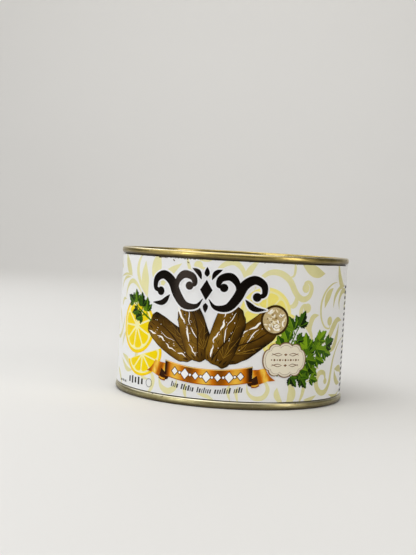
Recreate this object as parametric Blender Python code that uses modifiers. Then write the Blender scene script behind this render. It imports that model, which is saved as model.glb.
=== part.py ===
"""Short round food tin, shut, with a paper label wrapped round it.

The tin stands on the ring of its bottom seam, at z = 0, with its axis on Z. The front of the label
faces -Y, and the glued overlap of the label runs up the back.
"""

import math

import bmesh
import bpy

# Sizes of the whole tin, in metres
TIN_HEIGHT = 0.0630
SEAM_RADIUS = 0.0508
SEAM_HEIGHT = 0.0027
SIDES = 80
GAP = 0.0003

# The wall, whose thin rim stands up inside each seam
BODY_RADIUS = 0.0496
BODY_RIM = 0.0003

# The double seam and the wall that drops from it to the countersink
SEAM_CREST_RADIUS = 0.0006
CREST_FLAT_WIDTH = 0.0002
SEAM_HOOK_RADIUS = 0.0004
CHUCK_WALL_FOOT = 0.0484
GROOVE_DEPTH = 0.0048
GROOVE_RADIUS = 0.0004

# The pressed end panel, with its depths measured down from the crest
PANEL_DEPTH = 0.0034
PANEL_EDGE_RADIUS = 0.0471
OUTER_RING_DEPTH = 0.0039
STEP_RADIUS = 0.0370
STEP_WIDTH = 0.0008
OUTER_BEAD_RADIUS = 0.0421
OUTER_BEAD_WIDTH = 0.0034
OUTER_BEAD_HEIGHT = 0.0008
INNER_BEAD_RADIUS = 0.0295
INNER_BEAD_WIDTH = 0.0030
INNER_BEAD_HEIGHT = 0.0006
BEAD_TOP_SHARE = 0.4
PLUG_DEPTH = 0.0057

# The label, which clears the wall and stops short of both seams
LABEL_RADIUS = 0.0503
LABEL_BOTTOM = 0.0031
LABEL_TOP = 0.0600
PAPER_THICKNESS = 0.0001
LABEL_OVERLAP = 0.0100
LABEL_SIDES = 120

# How near points have to be to be one point, and how sharp an edge has to be to show as a corner
WELD = 0.00001
SHARP_ANGLE = math.radians(35)

GOLD_LACQUER = (0.48, 0.37, 0.13, 1.0)
TINPLATE = (0.55, 0.55, 0.53, 1.0)
LABEL_PAPER = (0.72, 0.71, 0.66, 1.0)


def clear_scene():
    """Removes whatever the scene holds."""
    for obj in list(bpy.data.objects):
        bpy.data.objects.remove(obj, do_unlink=True)


def material(name, colour, roughness, metallic):
    """A Principled material of one finish."""
    made = bpy.data.materials.new(name)
    made.use_nodes = True
    shader = made.node_tree.nodes["Principled BSDF"]
    shader.inputs["Base Color"].default_value = colour
    shader.inputs["Roughness"].default_value = roughness
    shader.inputs["Metallic"].default_value = metallic
    made.diffuse_color = colour
    return made


def arc(centre, radius, start, end, steps):
    """Points of a round stretch of a profile, from one angle to the other, in degrees."""
    points = []
    for i in range(steps + 1):
        angle = math.radians(start + (end - start) * i / steps)
        points.append((centre[0] + radius * math.cos(angle), centre[1] + radius * math.sin(angle)))
    return points


def bead(radius, width, height, depth):
    """A raised ring pressed into the panel, flat on top, with sloped sides."""
    top = width * BEAD_TOP_SHARE
    return [
        (radius - width / 2, -depth),
        (radius - top / 2, height - depth),
        (radius + top / 2, height - depth),
        (radius + width / 2, -depth),
    ]


def end_profile():
    """Half section of a can end, from the middle of the panel out over the seam and back below it.

    Heights run down from the crest of the seam, at 0.
    """
    crest_out = (SEAM_RADIUS - SEAM_CREST_RADIUS, -SEAM_CREST_RADIUS)
    crest_in = (crest_out[0] - CREST_FLAT_WIDTH, -SEAM_CREST_RADIUS)
    groove = (CHUCK_WALL_FOOT - GROOVE_RADIUS, GROOVE_RADIUS - GROOVE_DEPTH)
    hook = (SEAM_RADIUS - SEAM_HOOK_RADIUS, SEAM_HOOK_RADIUS - SEAM_HEIGHT)
    plug_radius = BODY_RADIUS - BODY_RIM - GAP
    points = [(0.0, -PANEL_DEPTH)]
    points += bead(INNER_BEAD_RADIUS, INNER_BEAD_WIDTH, INNER_BEAD_HEIGHT, PANEL_DEPTH)
    points += [(STEP_RADIUS, -PANEL_DEPTH), (STEP_RADIUS + STEP_WIDTH, -OUTER_RING_DEPTH)]
    points += bead(OUTER_BEAD_RADIUS, OUTER_BEAD_WIDTH, OUTER_BEAD_HEIGHT, OUTER_RING_DEPTH)
    points += [(PANEL_EDGE_RADIUS, -OUTER_RING_DEPTH)]
    points += arc(groove, GROOVE_RADIUS, 180, 360, 3)
    points += arc(crest_in, SEAM_CREST_RADIUS, 180, 90, 2)
    points += arc(crest_out, SEAM_CREST_RADIUS, 90, 0, 2)
    points += arc(hook, SEAM_HOOK_RADIUS, 0, -90, 2)
    points += [(plug_radius, -SEAM_HEIGHT), (plug_radius, -PLUG_DEPTH), (0.0, -PLUG_DEPTH)]
    return points


def body_profile():
    """Half section of the wall and what it holds, recessed at both ends for the can ends."""
    rim_top = TIN_HEIGHT - SEAM_HEIGHT - GAP
    floor_top = TIN_HEIGHT - PLUG_DEPTH - GAP
    rim_inside = BODY_RADIUS - BODY_RIM
    upper = [(0.0, floor_top), (rim_inside, floor_top), (rim_inside, rim_top), (BODY_RADIUS, rim_top)]
    lower = [(radius, TIN_HEIGHT - height) for radius, height in reversed(upper)]
    return upper + lower


def turned(name, profile, finish, collection):
    """A solid of revolution about Z from a half section at +X."""
    mesh = bpy.data.meshes.new(name)
    points = [(radius, 0.0, height) for radius, height in profile]
    edges = [(i, i + 1) for i in range(len(points) - 1)]
    mesh.from_pydata(points, edges, [])
    mesh.materials.append(finish)
    obj = bpy.data.objects.new(name, mesh)
    collection.objects.link(obj)
    screw = obj.modifiers.new("Turn", "SCREW")
    screw.axis = "Z"
    screw.steps = SIDES
    screw.render_steps = SIDES
    screw.use_merge_vertices = True
    screw.merge_threshold = WELD
    return rounded(obj)


def rounded(obj):
    """The same object as a plain mesh, welded, and shaded smooth up to its sharp corners."""
    graph = bpy.context.evaluated_depsgraph_get()
    mesh = bpy.data.meshes.new_from_object(obj.evaluated_get(graph))
    mesh.name = obj.name
    welded = bmesh.new()
    welded.from_mesh(mesh)
    bmesh.ops.remove_doubles(welded, verts=welded.verts, dist=WELD)
    welded.to_mesh(mesh)
    welded.free()
    mesh.shade_smooth()
    mesh.set_sharp_from_angle(angle=SHARP_ANGLE)
    place = obj.matrix_world.copy()
    name = obj.name
    collection = obj.users_collection[0]
    bpy.data.objects.remove(obj)
    made = bpy.data.objects.new(name, mesh)
    made.matrix_world = place
    collection.objects.link(made)
    return made


def on_circle(radius, angle):
    """The point of a level outline at an angle round the axis."""
    return (radius * math.cos(angle), radius * math.sin(angle), 0.0)


def label_outline():
    """Outer outline of the label: at the back its outer end lies over its inner end, one paper higher."""
    overlap = LABEL_OVERLAP / LABEL_RADIUS
    points = []
    for i in range(LABEL_SIDES + 1):
        turn = 2 * math.pi * i / LABEL_SIDES
        lift = PAPER_THICKNESS if turn < overlap else 0.0
        points.append(on_circle(LABEL_RADIUS + lift, turn + (math.pi - overlap) / 2))
    return points


def label_bore():
    """Inner outline of the label, clear of the wall."""
    return [on_circle(BODY_RADIUS + GAP, 2 * math.pi * i / LABEL_SIDES) for i in range(LABEL_SIDES)]


def wrapped_label(finish, collection):
    """The paper sleeve, as a ring outline extruded to the label's height."""
    curve = bpy.data.curves.new("label", "CURVE")
    curve.dimensions = "2D"
    curve.fill_mode = "BOTH"
    curve.extrude = (LABEL_TOP - LABEL_BOTTOM) / 2
    for points in (label_outline(), label_bore()):
        spline = curve.splines.new("POLY")
        spline.points.add(len(points) - 1)
        for point, place in zip(spline.points, points):
            point.co = (*place, 1.0)
        spline.use_cyclic_u = True
    curve.materials.append(finish)
    obj = bpy.data.objects.new("label", curve)
    obj.location.z = (LABEL_TOP + LABEL_BOTTOM) / 2
    collection.objects.link(obj)
    bpy.context.view_layer.update()
    return rounded(obj)


def main():
    """Makes the tin's four pieces."""
    clear_scene()
    tin = bpy.data.collections.new("food_tin")
    bpy.context.scene.collection.children.link(tin)

    gold = material("gold_lacquered_tinplate", GOLD_LACQUER, 0.32, 1.0)
    plate = material("bare_tinplate", TINPLATE, 0.38, 1.0)
    paper = material("coated_label_paper", LABEL_PAPER, 0.42, 0.0)

    turned("can_body", body_profile(), plate, tin)
    top = turned("top_end", end_profile(), gold, tin)
    top.location.z = TIN_HEIGHT
    bottom = bpy.data.objects.new("bottom_end", top.data)
    bottom.rotation_euler.x = math.pi
    tin.objects.link(bottom)
    wrapped_label(paper, tin)


if __name__ == "__main__":
    main()
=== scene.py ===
"""Short round food tin, shut, with its rolled seams and a printed paper label.

The tin stands at z = 0 with its axis on Z, and the front of the label faces -Y. The label's print is
drawn flat, in millimetres: u runs along the paper to the right from the middle of the front, and z up
the tin. Each printed shape is a thin layer that is cut on the paper's own columns and rows and then
wrapped, so it lies on the paper everywhere.
"""

import cmath
import math
import random

import bmesh
import bpy
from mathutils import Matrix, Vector


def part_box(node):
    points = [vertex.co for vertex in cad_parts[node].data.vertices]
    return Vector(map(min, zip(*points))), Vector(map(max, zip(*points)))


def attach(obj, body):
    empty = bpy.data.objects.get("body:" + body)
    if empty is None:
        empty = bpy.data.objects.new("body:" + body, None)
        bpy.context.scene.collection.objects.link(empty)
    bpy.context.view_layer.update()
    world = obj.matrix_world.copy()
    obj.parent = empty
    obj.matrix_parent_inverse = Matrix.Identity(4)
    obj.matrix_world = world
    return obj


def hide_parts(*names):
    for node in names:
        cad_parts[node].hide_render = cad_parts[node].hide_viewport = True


bl_info = {
    "name": "Food tin",
    "version": (1, 0, 0),
    "blender": (4, 5, 0),
    "location": "View3D > Sidebar > Food tin",
    "description": "Builds a short round food tin with rolled seams and a printed paper label",
    "category": "Add Mesh",
}

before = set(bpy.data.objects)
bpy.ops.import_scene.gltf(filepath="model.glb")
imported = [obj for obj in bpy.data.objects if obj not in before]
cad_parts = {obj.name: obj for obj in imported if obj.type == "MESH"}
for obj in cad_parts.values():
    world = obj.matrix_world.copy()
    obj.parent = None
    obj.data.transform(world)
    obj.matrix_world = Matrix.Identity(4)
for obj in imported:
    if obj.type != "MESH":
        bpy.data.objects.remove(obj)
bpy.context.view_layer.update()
TOP_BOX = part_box("top_end")
LABEL_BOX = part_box("label")

MM = 0.001

# The flat sheet, in millimetres: its columns and rows are shared by the paper and by all print. The
# paper stops a little short of the CAD sleeve at both edges.
LOWER_MARGIN = 0.35
UPPER_MARGIN = 0.22
LABEL_RADIUS = LABEL_BOX[1].x / MM
TURN = 2 * math.pi * LABEL_RADIUS
COLUMNS = 240
COLUMN = TURN / COLUMNS
LABEL_LOW = LABEL_BOX[0].z / MM + LOWER_MARGIN
LABEL_HIGH = LABEL_BOX[1].z / MM - UPPER_MARGIN
ROWS = 24
ROW = (LABEL_HIGH - LABEL_LOW) / ROWS

# The glued overlap at the back
OVERLAP_COLUMNS = 8
SHEET_END = (COLUMNS + OVERLAP_COLUMNS) / 2 * COLUMN
PRINT_START = SHEET_END - TURN
OVERLAP_RISE = 3.0
GLUE_FILM = 0.02

# The cut edges wander up and down, and the paper between them less, down to none at its middle
DRIFT_MIDDLE = 31.5
DRIFT_REACH = 28.5

# How the printed layers lie: each starts a little below the paper's face, and its level sets its top
INK_SINK = 0.010
INK_FILM = 0.008
LEVEL_STEP = 0.005
LEAST_SPACING = 0.012

# How far above the paper's face the lowest level of each printed piece lies
SCROLL_BASE = 0.0
LEMON_BASE = 0.022
SMALL_LINES_BASE = 0.030
FRONT_LEMON_BASE = 0.042
ROLL_BASE = 0.060
SCUFF_BASE = 0.060
HERB_BASE = 0.066
HALO_BASE = 0.175
RIBBON_BASE = 0.182
ORNAMENT_BASE = 0.225
PLAQUE_BASE = 0.232

# The faint crease that runs round the paper under its top edge
CREASE_DROP = 0.9
CREASE_REACH = 0.12
CREASE_DEPTH = 0.035

WELD = 0.000002
SHARP_ANGLE = math.radians(35)
LATHE_STEPS = 256


def length_of(name, description, default, **limits):
    """A length that a user may change."""
    return bpy.props.FloatProperty(
        name=name, description=description, default=default, unit="LENGTH", **limits
    )


def power_of(name, description, default):
    """The power of a light, which a user may change."""
    return bpy.props.FloatProperty(
        name=name, description=description, default=default, min=0.0, unit="POWER"
    )


def colour_of(name, description, default):
    """A colour that a user may change."""
    return bpy.props.FloatVectorProperty(
        name=name, description=description, default=default, min=0.0, max=1.0, size=3, subtype="COLOR"
    )


class TinSizes(bpy.types.PropertyGroup):
    """Sizes of the tin's metal and of its label."""

    height: length_of("Height", "Height of the tin over both seams", TOP_BOX[1].z, min=0.02)
    seam_radius: length_of("Seam radius", "Radius over the outside of the seams", TOP_BOX[1].x, min=0.02)
    top_seam: length_of("Top seam", "Height of the rolled seam at the top", 0.0027, min=0.001)
    bottom_seam: length_of("Bottom seam", "Height of the rolled seam at the bottom", 0.0031, min=0.001)
    wall_radius: length_of("Wall radius", "Radius of the wall under the label", 0.05015, min=0.02)
    neck_radius: length_of("Neck radius", "Radius of the wall where it enters a seam", 0.0493, min=0.02)
    seam_wear: length_of(
        "Seam wear", "Depth of the small knocks in the seams", 0.00012, min=0.0, max=0.0005
    )
    paper_thickness: length_of("Paper thickness", "Thickness of the label's paper", 0.00011, min=0.00005)
    paper_waves: length_of(
        "Paper waves",
        "How far the paper stands off and back where it isn't drawn tight",
        0.00004,
        min=0.0,
        max=0.0002,
    )


class TinColours(bpy.types.PropertyGroup):
    """Colours of the metal, the paper and the print."""

    lacquer: colour_of("Lacquer", "Gold lacquer on the can ends", (0.63, 0.485, 0.145))
    dull_lacquer: colour_of("Dull lacquer", "Lacquer where it is thick or soiled", (0.28, 0.212, 0.068))
    worn_lacquer: colour_of("Worn lacquer", "Lacquer on the bottom end, rubbed pale", (0.57, 0.515, 0.26))
    # Painted shade: this colour darkens the lower part of each seam, its groove and the wall under the
    # seams; on the lacquer it also colours real dark lines and pits
    soil: colour_of("Soil", "Dirt that gathers under the seams and in the grooves", (0.050, 0.034, 0.012))
    # This colour also paints a highlight: the pale line along each seam's crest is partly wear and partly
    # painted highlight
    bare_tin_and_highlight: colour_of("Bare edge", "Tinplate that shows where lacquer is rubbed off", (0.80, 0.76, 0.62))
    tinplate: colour_of("Tinplate", "Plain tinplate of the wall", (0.50, 0.49, 0.46))
    dull_tinplate: colour_of("Dull tinplate", "Duller patches of the wall", (0.24, 0.20, 0.15))
    paper: colour_of("Paper", "Face of the label", (0.80, 0.80, 0.80))
    paper_streak: colour_of("Paper streaks", "Faint streaks in the face of the label", (0.66, 0.65, 0.62))
    paper_core: colour_of("Paper core", "Cut edge and back of the paper", (0.86, 0.85, 0.82))
    core_shade: colour_of("Core shade", "Darker fibres of the bare paper", (0.62, 0.58, 0.50))
    scroll: colour_of("Scrolls", "Pale scroll pattern over the whole label", (0.76, 0.72, 0.39))
    black: colour_of("Black", "Large ornament at the top of the front", (0.0008, 0.0006, 0.0005))
    halo: colour_of("Halo", "Pale edge round the large ornament", (0.86, 0.86, 0.87))
    roll_dark: colour_of("Roll shade", "Stuffed leaf rolls, in the shade", (0.012, 0.006, 0.001))
    roll_leaf: colour_of("Roll leaf", "Stuffed leaf rolls, the leaf", (0.135, 0.062, 0.003))
    roll_light: colour_of("Roll light", "Stuffed leaf rolls, in the light", (0.30, 0.165, 0.016))
    rice: colour_of("Rice", "Filling in the cut roll", (0.74, 0.62, 0.36))
    glaze: colour_of("Glaze", "Light on the oiled leaves", (0.93, 0.90, 0.82))
    lemon_rind: colour_of("Lemon rind", "Edge of the lemon slices", (0.88, 0.56, 0.004))
    lemon_flesh: colour_of("Lemon flesh", "Cells of the lemon slices", (0.89, 0.665, 0.002))
    lemon_pith: colour_of("Lemon pith", "White of the lemon slices", (0.88, 0.83, 0.42))
    pale_flesh: colour_of("Pale lemon flesh", "Cells of the slices behind", (0.87, 0.76, 0.17))
    pale_pith: colour_of("Pale lemon pith", "White of the slices behind", (0.86, 0.81, 0.42))
    herb_dark: colour_of("Herb shade", "Dark side of the herb leaves", (0.004, 0.014, 0.0003))
    herb_leaf: colour_of("Herb leaf", "Herb leaves", (0.033, 0.108, 0.0002))
    herb_light: colour_of("Herb light", "Ribs and bright edges of the herb leaves", (0.21, 0.37, 0.008))
    ribbon_dark: colour_of("Ribbon shade", "Folds of the ribbon", (0.022, 0.007, 0.002))
    ribbon_orange: colour_of("Ribbon orange", "Body of the ribbon", (0.62, 0.165, 0.001))
    ribbon_gold: colour_of("Ribbon gold", "Bright bands of the ribbon", (0.90, 0.58, 0.07))
    ribbon_bead: colour_of("Ribbon beads", "Ornament on the ribbon", (0.90, 0.90, 0.90))
    plaque_line: colour_of("Plaque line", "Outline and loops of the small plaque", (0.20, 0.105, 0.045))
    plaque_face: colour_of("Plaque face", "Face of the small plaque", (0.80, 0.74, 0.59))
    small_lines: colour_of("Small lines", "Plain ticks and bars", (0.012, 0.010, 0.009))
    stain_dark: colour_of("Dark stain", "Middle of the stains on the paper", (0.045, 0.030, 0.012))
    stain: colour_of("Stain", "Stains on the paper", (0.16, 0.12, 0.06))
    stain_light: colour_of("Light stain", "Rim of the stains on the paper", (0.42, 0.37, 0.28))


class StageSettings(bpy.types.PropertyGroup):
    """The floor, the light and the lens."""

    floor: colour_of("Floor", "Pale floor and backdrop", (0.74, 0.73, 0.71))
    surround: bpy.props.FloatProperty(
        name="Surround", description="Strength of the even light all round", default=0.10, min=0.0, max=3.0
    )
    left_light: power_of("Left light", "Power of the narrow low light at the front left", 1.2)
    right_light: power_of("Right light", "Power of the soft light at the front right", 1.8)
    wide_light: power_of("Wide light", "Power of the wide soft light at the left, above the tin", 3.35)
    side_light: power_of("Side light", "Power of the soft light at the left, behind the tin", 1.4)
    low_light: power_of("Low light", "Power of the low soft light at the left of the tin", 0.30)
    backdrop_light: power_of("Backdrop light", "Power of the wide light on the backdrop", 14.0)
    top_light: power_of("Top light", "Power of the wide soft light overhead", 6.4)
    lens: bpy.props.FloatProperty(
        name="Lens", description="Focal length of the camera", default=64.6, min=10.0, unit="CAMERA"
    )


# Flat drawing: points are complex numbers, u + z*1j, in millimetres


def curl(start, heading, length, bend_in, bend_out, steps):
    """Middle line of a scroll: its bend, in degrees for each millimetre, changes evenly along it."""
    points = [start]
    angle = math.radians(heading)
    step = length / steps
    for i in range(steps):
        turn = math.radians(bend_in + (bend_out - bend_in) * (i + 0.5) / steps) * step
        points.append(points[-1] + cmath.rect(step, angle + turn / 2))
        angle += turn
    return points


def sides_of(path, half_width):
    """The two long sides of a band along a path; its half width follows the share of the way."""
    last = len(path) - 1
    left = []
    right = []
    for i, point in enumerate(path):
        ahead = path[min(i + 1, last)] - path[max(i - 1, 0)]
        out = 1j * ahead / abs(ahead) * half_width(i / last)
        left.append(point + out)
        right.append(point - out)
    return left, right


def up_to_ball(path, ball):
    """A path without the last stretch, which the ball at its end covers."""
    kept = list(path)
    while abs(kept[-2] - path[-1]) < 0.7 * ball:
        kept.pop()
    return kept


def band(path, half_width):
    """Outline of a band along a path."""
    left, right = sides_of(path, half_width)
    return left + right[::-1]


def swelling(thick, start, end, peak=0.5):
    """Half width that swells from one end to its thickest at the peak and thins to the other end."""

    def half_width(share):
        if share < peak:
            return start + (thick - start) * math.sin(math.pi / 2 * share / peak)
        return end + (thick - end) * math.cos(math.pi / 2 * (share - peak) / (1 - peak))

    return half_width


def even(half_width):
    """A half width that stays the same."""
    return lambda share: half_width


def ring(centre, radius, steps, squash=1.0, turn=0.0):
    """Outline of a circle, or of an ellipse that may be turned."""
    points = [cmath.rect(radius, 2 * math.pi * i / steps) for i in range(steps)]
    return moved([complex(point.real, point.imag * squash) for point in points], centre, turn)


def moved(points, centre, turn):
    """Points turned about zero, in degrees, and then moved to a centre."""
    spin = cmath.rect(1, math.radians(turn))
    return [centre + point * spin for point in points]


def lozenge(centre, half_width, half_height):
    """Outline of a lozenge."""
    corners = (complex(-half_width, 0), complex(0, -half_height), complex(half_width, 0))
    return [centre + corner for corner in corners] + [centre + complex(0, half_height)]


# Wrapping the flat sheet round the tin


def edge_drift(u):
    """How far the label's cut edges wander up and down, in millimetres."""
    angle = u / LABEL_RADIUS
    return 0.05 * math.sin(2 * angle + 0.6) + 0.035 * math.sin(7 * angle) + 0.02 * math.sin(19 * angle + 1)


def paper_wave(u, z, depth):
    """How far the paper stands off from its true circle, the same at both ends of the turn."""
    angle = u / LABEL_RADIUS
    up = (z - LABEL_LOW) / (LABEL_HIGH - LABEL_LOW)
    soft = math.sin(3 * angle + 1.1 + 0.9 * up) + 0.6 * math.sin(8 * angle + 2.0 - 1.6 * up)
    soft += 0.4 * math.sin(17 * angle + 3.0 * up)
    below = (LABEL_HIGH - CREASE_DROP - z) / CREASE_REACH
    crease = CREASE_DEPTH * (0.6 + 0.4 * math.sin(5 * angle + 0.8)) * math.exp(-below * below)
    return depth * soft / 2 - crease


def overlap_lift(u):
    """How far the outer end of the paper is raised by the inner end that it is glued over."""
    start = PRINT_START + TURN - OVERLAP_COLUMNS * COLUMN - OVERLAP_RISE
    share = min(max((u - start) / OVERLAP_RISE, 0.0), 1.0)
    return share * share * (3 - 2 * share)


def column_point(u, z, lift, sizes):
    """A point of the wrapped sheet straight above or below a column of the paper, in metres."""
    height = z + edge_drift(u) * ((z - DRIFT_MIDDLE) / DRIFT_REACH) ** 3
    rise = overlap_lift(u) * (sizes.paper_thickness / MM + GLUE_FILM)
    radius = LABEL_RADIUS + lift + rise + paper_wave(u, z, sizes.paper_waves / MM)
    angle = u / LABEL_RADIUS
    return Vector((radius * math.sin(angle), -radius * math.cos(angle), height)) * MM


def wrapped(u, z, lift, sizes):
    """A point of the flat sheet on the tin, level with the paper's own facets, in metres."""
    column = math.floor(u / COLUMN)
    share = u / COLUMN - column
    first = column_point(column * COLUMN, z, lift, sizes)
    second = column_point((column + 1) * COLUMN, z, lift, sizes)
    return first.lerp(second, share)


def wrap_all(bm, sizes):
    """Wraps a flat bmesh round the tin."""
    for vert in bm.verts:
        vert.co = wrapped(vert.co.x, vert.co.y, vert.co.z, sizes)


def cut_flat(bm, place, across, trim=False):
    """Cuts a flat bmesh along a line, and may clear what lies beyond it."""
    geometry = bm.verts[:] + bm.edges[:] + bm.faces[:]
    bmesh.ops.bisect_plane(
        bm, geom=geometry, dist=0.0001, plane_co=place, plane_no=across, clear_outer=trim
    )


def cut_on_sheet(bm, outline):
    """Trims a flat shape to the sheet and cuts it on the paper's columns and rows."""
    left = min(point.real for point in outline)
    right = max(point.real for point in outline)
    low = min(point.imag for point in outline)
    high = max(point.imag for point in outline)
    if right > SHEET_END:
        cut_flat(bm, (SHEET_END, 0, 0), (1, 0, 0), trim=True)
    if left < PRINT_START:
        cut_flat(bm, (PRINT_START, 0, 0), (-1, 0, 0), trim=True)
    if high > LABEL_HIGH:
        cut_flat(bm, (0, LABEL_HIGH, 0), (0, 1, 0), trim=True)
    if low < LABEL_LOW:
        cut_flat(bm, (0, LABEL_LOW, 0), (0, -1, 0), trim=True)
    for k in range(math.ceil(left / COLUMN), math.floor(right / COLUMN) + 1):
        cut_flat(bm, (k * COLUMN, 0, 0), (1, 0, 0))
    for k in range(ROWS + 1):
        if low < LABEL_LOW + k * ROW < high:
            cut_flat(bm, (0, LABEL_LOW + k * ROW, 0), (0, 1, 0))


def verts_of(extruded):
    """The new vertices that an extrusion made."""
    return [item for item in extruded["geom"] if isinstance(item, bmesh.types.BMVert)]


class PrintedSheet:
    """Flat printed shapes that become one piece; a shape's tone picks its colour from the ink."""

    def __init__(self, base):
        self.base = base
        self.made = bmesh.new()
        self.made.verts.layers.float.new("tone")

    def lay(self, outline, tone, level=0):
        """Adds a shape, whose tone is a number or a rule that gives one at each point."""
        spaced = [p for i, p in enumerate(outline) if abs(p - outline[i - 1]) > LEAST_SPACING]
        flat = bmesh.new()
        mark = flat.verts.layers.float.new("tone")
        corners = [flat.verts.new((point.real, point.imag, 0.0)) for point in spaced]
        edges = [flat.edges.new((corners[i - 1], corner)) for i, corner in enumerate(corners)]
        bmesh.ops.triangle_fill(flat, use_beauty=True, edges=edges, normal=(0, 0, 1))
        cut_on_sheet(flat, spaced)
        for vert in flat.verts:
            vert[mark] = tone(complex(vert.co.x, vert.co.y)) if callable(tone) else tone
        if flat.faces:
            self.thicken(flat, self.base + level * LEVEL_STEP)
            sheet = bpy.data.meshes.new("flat_shape")
            flat.to_mesh(sheet)
            self.made.from_mesh(sheet)
            bpy.data.meshes.remove(sheet)
        flat.free()

    def thicken(self, flat, top):
        """Gives a flat shape its thickness, from below the paper's face up to its own top."""
        bmesh.ops.translate(flat, verts=flat.verts, vec=(0, 0, -INK_SINK))
        raised = bmesh.ops.extrude_face_region(flat, geom=flat.faces[:], use_keep_orig=True)
        bmesh.ops.translate(flat, verts=verts_of(raised), vec=(0, 0, INK_SINK + INK_FILM + top))
        bmesh.ops.recalc_face_normals(flat, faces=flat.faces)

    def piece(self, context, name, ink):
        """The shapes, wrapped round the tin, as one object on the label."""
        wrap_all(self.made, context.scene.tin_sizes)
        return make_object(context, name, self.made, [ink])


def make_object(context, name, bm, materials):
    """An object from a finished bmesh, smooth up to its sharp edges, which rides on the tin."""
    mesh = bpy.data.meshes.new(name)
    bm.to_mesh(mesh)
    bm.free()
    for material in materials:
        mesh.materials.append(material)
    mesh.shade_smooth()
    mesh.set_sharp_from_angle(angle=SHARP_ANGLE)
    made = bpy.data.objects.new(name, mesh)
    context.collection.objects.link(made)
    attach(made, "root")
    return made


# Materials

# How strongly the coated paper, and the ink on it, mirror the light, and how rough they are
COATING = 0.13
INK_COATING = 0.06
COATED_GLOSS = 0.26


def new_group(name, inputs, outputs):
    """An empty shader node group with sockets for numbers, and its input and output nodes."""
    group = bpy.data.node_groups.new(name, "ShaderNodeTree")
    for title, default in inputs.items():
        socket = group.interface.new_socket(title, in_out="INPUT", socket_type="NodeSocketFloat")
        socket.default_value = default
    for title in outputs:
        group.interface.new_socket(title, in_out="OUTPUT", socket_type="NodeSocketFloat")
    return group, group.nodes.new("NodeGroupInput"), group.nodes.new("NodeGroupOutput")


def link_all(tree, node, values):
    """Links outputs to a node's inputs by their names."""
    for title, value in values.items():
        tree.links.new(value, node.inputs[title])


def math_node(tree, operation, first, second=0.5, third=None):
    """A Math node, with links or numbers for its inputs, and its output."""
    node = tree.nodes.new("ShaderNodeMath")
    node.operation = operation
    for socket, value in zip(node.inputs, (first, second, third)):
        if isinstance(value, bpy.types.NodeSocket):
            tree.links.new(value, socket)
        elif value is not None:
            socket.default_value = value
    return node.outputs[0]


def noise_node(tree, scale, stretch=(1.0, 1.0, 1.0), detail=3.0, roughness=0.5):
    """Noise on the object's own coordinates, stretched along the axes, and its value."""
    place = tree.nodes.new("ShaderNodeTexCoord")
    mapping = tree.nodes.new("ShaderNodeMapping")
    mapping.inputs["Scale"].default_value = stretch
    noise = tree.nodes.new("ShaderNodeTexNoise")
    noise.inputs["Detail"].default_value = detail
    noise.inputs["Roughness"].default_value = roughness
    if isinstance(scale, bpy.types.NodeSocket):
        tree.links.new(scale, noise.inputs["Scale"])
    else:
        noise.inputs["Scale"].default_value = scale
    tree.links.new(place.outputs["Object"], mapping.inputs["Vector"])
    tree.links.new(mapping.outputs["Vector"], noise.inputs["Vector"])
    return noise.outputs["Fac"]


def spread(tree, value, low, high, to_low=0.0, to_high=1.0):
    """A value stretched from one range to another and held inside it."""
    node = tree.nodes.new("ShaderNodeMapRange")
    tree.links.new(value, node.inputs["Value"])
    for title, number in (("From Min", low), ("From Max", high), ("To Min", to_low), ("To Max", to_high)):
        node.inputs[title].default_value = number
    return node.outputs["Result"]


def mix_colours(tree, share, first, second):
    """A mix of two colours, each a link or a colour, and its output."""
    node = tree.nodes.new("ShaderNodeMix")
    node.data_type = "RGBA"
    for socket, value in ((node.inputs[0], share), (node.inputs[6], first), (node.inputs[7], second)):
        if isinstance(value, bpy.types.NodeSocket):
            tree.links.new(value, socket)
        elif isinstance(value, (int, float)):
            socket.default_value = value
        else:
            socket.default_value = (*value, 1.0)
    return node.outputs[2]


def attribute_value(tree, name):
    """The value of one of the piece's own attributes."""
    node = tree.nodes.new("ShaderNodeAttribute")
    node.attribute_name = name
    return node.outputs["Fac"]


def scaled(colour, share):
    """A colour made darker or lighter, and held below one."""
    return [min(1.0, share * part) for part in colour]


def paper_grain_group():
    """Coated paper: fine fibre relief, faint upright streaks and an uneven gloss."""
    inputs = {"Fibre Scale": 2600.0, "Gloss": COATED_GLOSS}
    group, given, out = new_group("paper_grain", inputs, ("Height", "Roughness", "Streaks"))
    fibre = noise_node(group, given.outputs["Fibre Scale"], detail=4.0, roughness=0.6)
    streaks = noise_node(group, 260.0, (1.0, 1.0, 0.05), roughness=0.55)
    cloud = noise_node(group, 45.0, detail=2.0)
    height = math_node(group, "MULTIPLY_ADD", streaks, 0.35, fibre)
    shift = math_node(group, "MULTIPLY_ADD", cloud, 0.10, -0.05)
    rough = math_node(group, "ADD", given.outputs["Gloss"], shift)
    fine = math_node(group, "MULTIPLY_ADD", fibre, 0.06, rough)
    link_all(group, out, {"Height": height, "Roughness": fine, "Streaks": streaks})


def drawn_metal_group():
    """Drawn tinplate: fine lines round the tin, soft patches and small rubbed spots."""
    outputs = ("Lines", "Patches", "Mottle", "Rubbed", "Pits", "Height")
    group, given, out = new_group("drawn_metal", {"Line Scale": 90.0}, outputs)
    lines = noise_node(group, given.outputs["Line Scale"], (1.0, 1.0, 42.0), 5.0, 0.62)
    fine = noise_node(group, 900.0, (0.05, 0.05, 9.0), roughness=0.6)
    patches = noise_node(group, 85.0, (1.0, 1.0, 1.6), 4.0, 0.6)
    mottle = noise_node(group, 330.0, (1.0, 1.0, 1.7), 4.0, 0.7)
    specks = noise_node(group, 620.0, detail=2.0)
    values = {
        "Lines": lines,
        "Patches": spread(group, patches, 0.35, 0.65),
        "Mottle": spread(group, mottle, 0.40, 0.66),
        "Rubbed": spread(group, specks, 0.66, 0.74),
        "Pits": spread(group, specks, 0.31, 0.25),
        "Height": math_node(group, "MULTIPLY_ADD", fine, 0.5, lines),
    }
    link_all(group, out, values)


def new_material(name):
    """A material with a Principled shader, its tree and its shader."""
    material = bpy.data.materials.new(name)
    material.use_nodes = True
    return material, material.node_tree, material.node_tree.nodes["Principled BSDF"]


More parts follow.
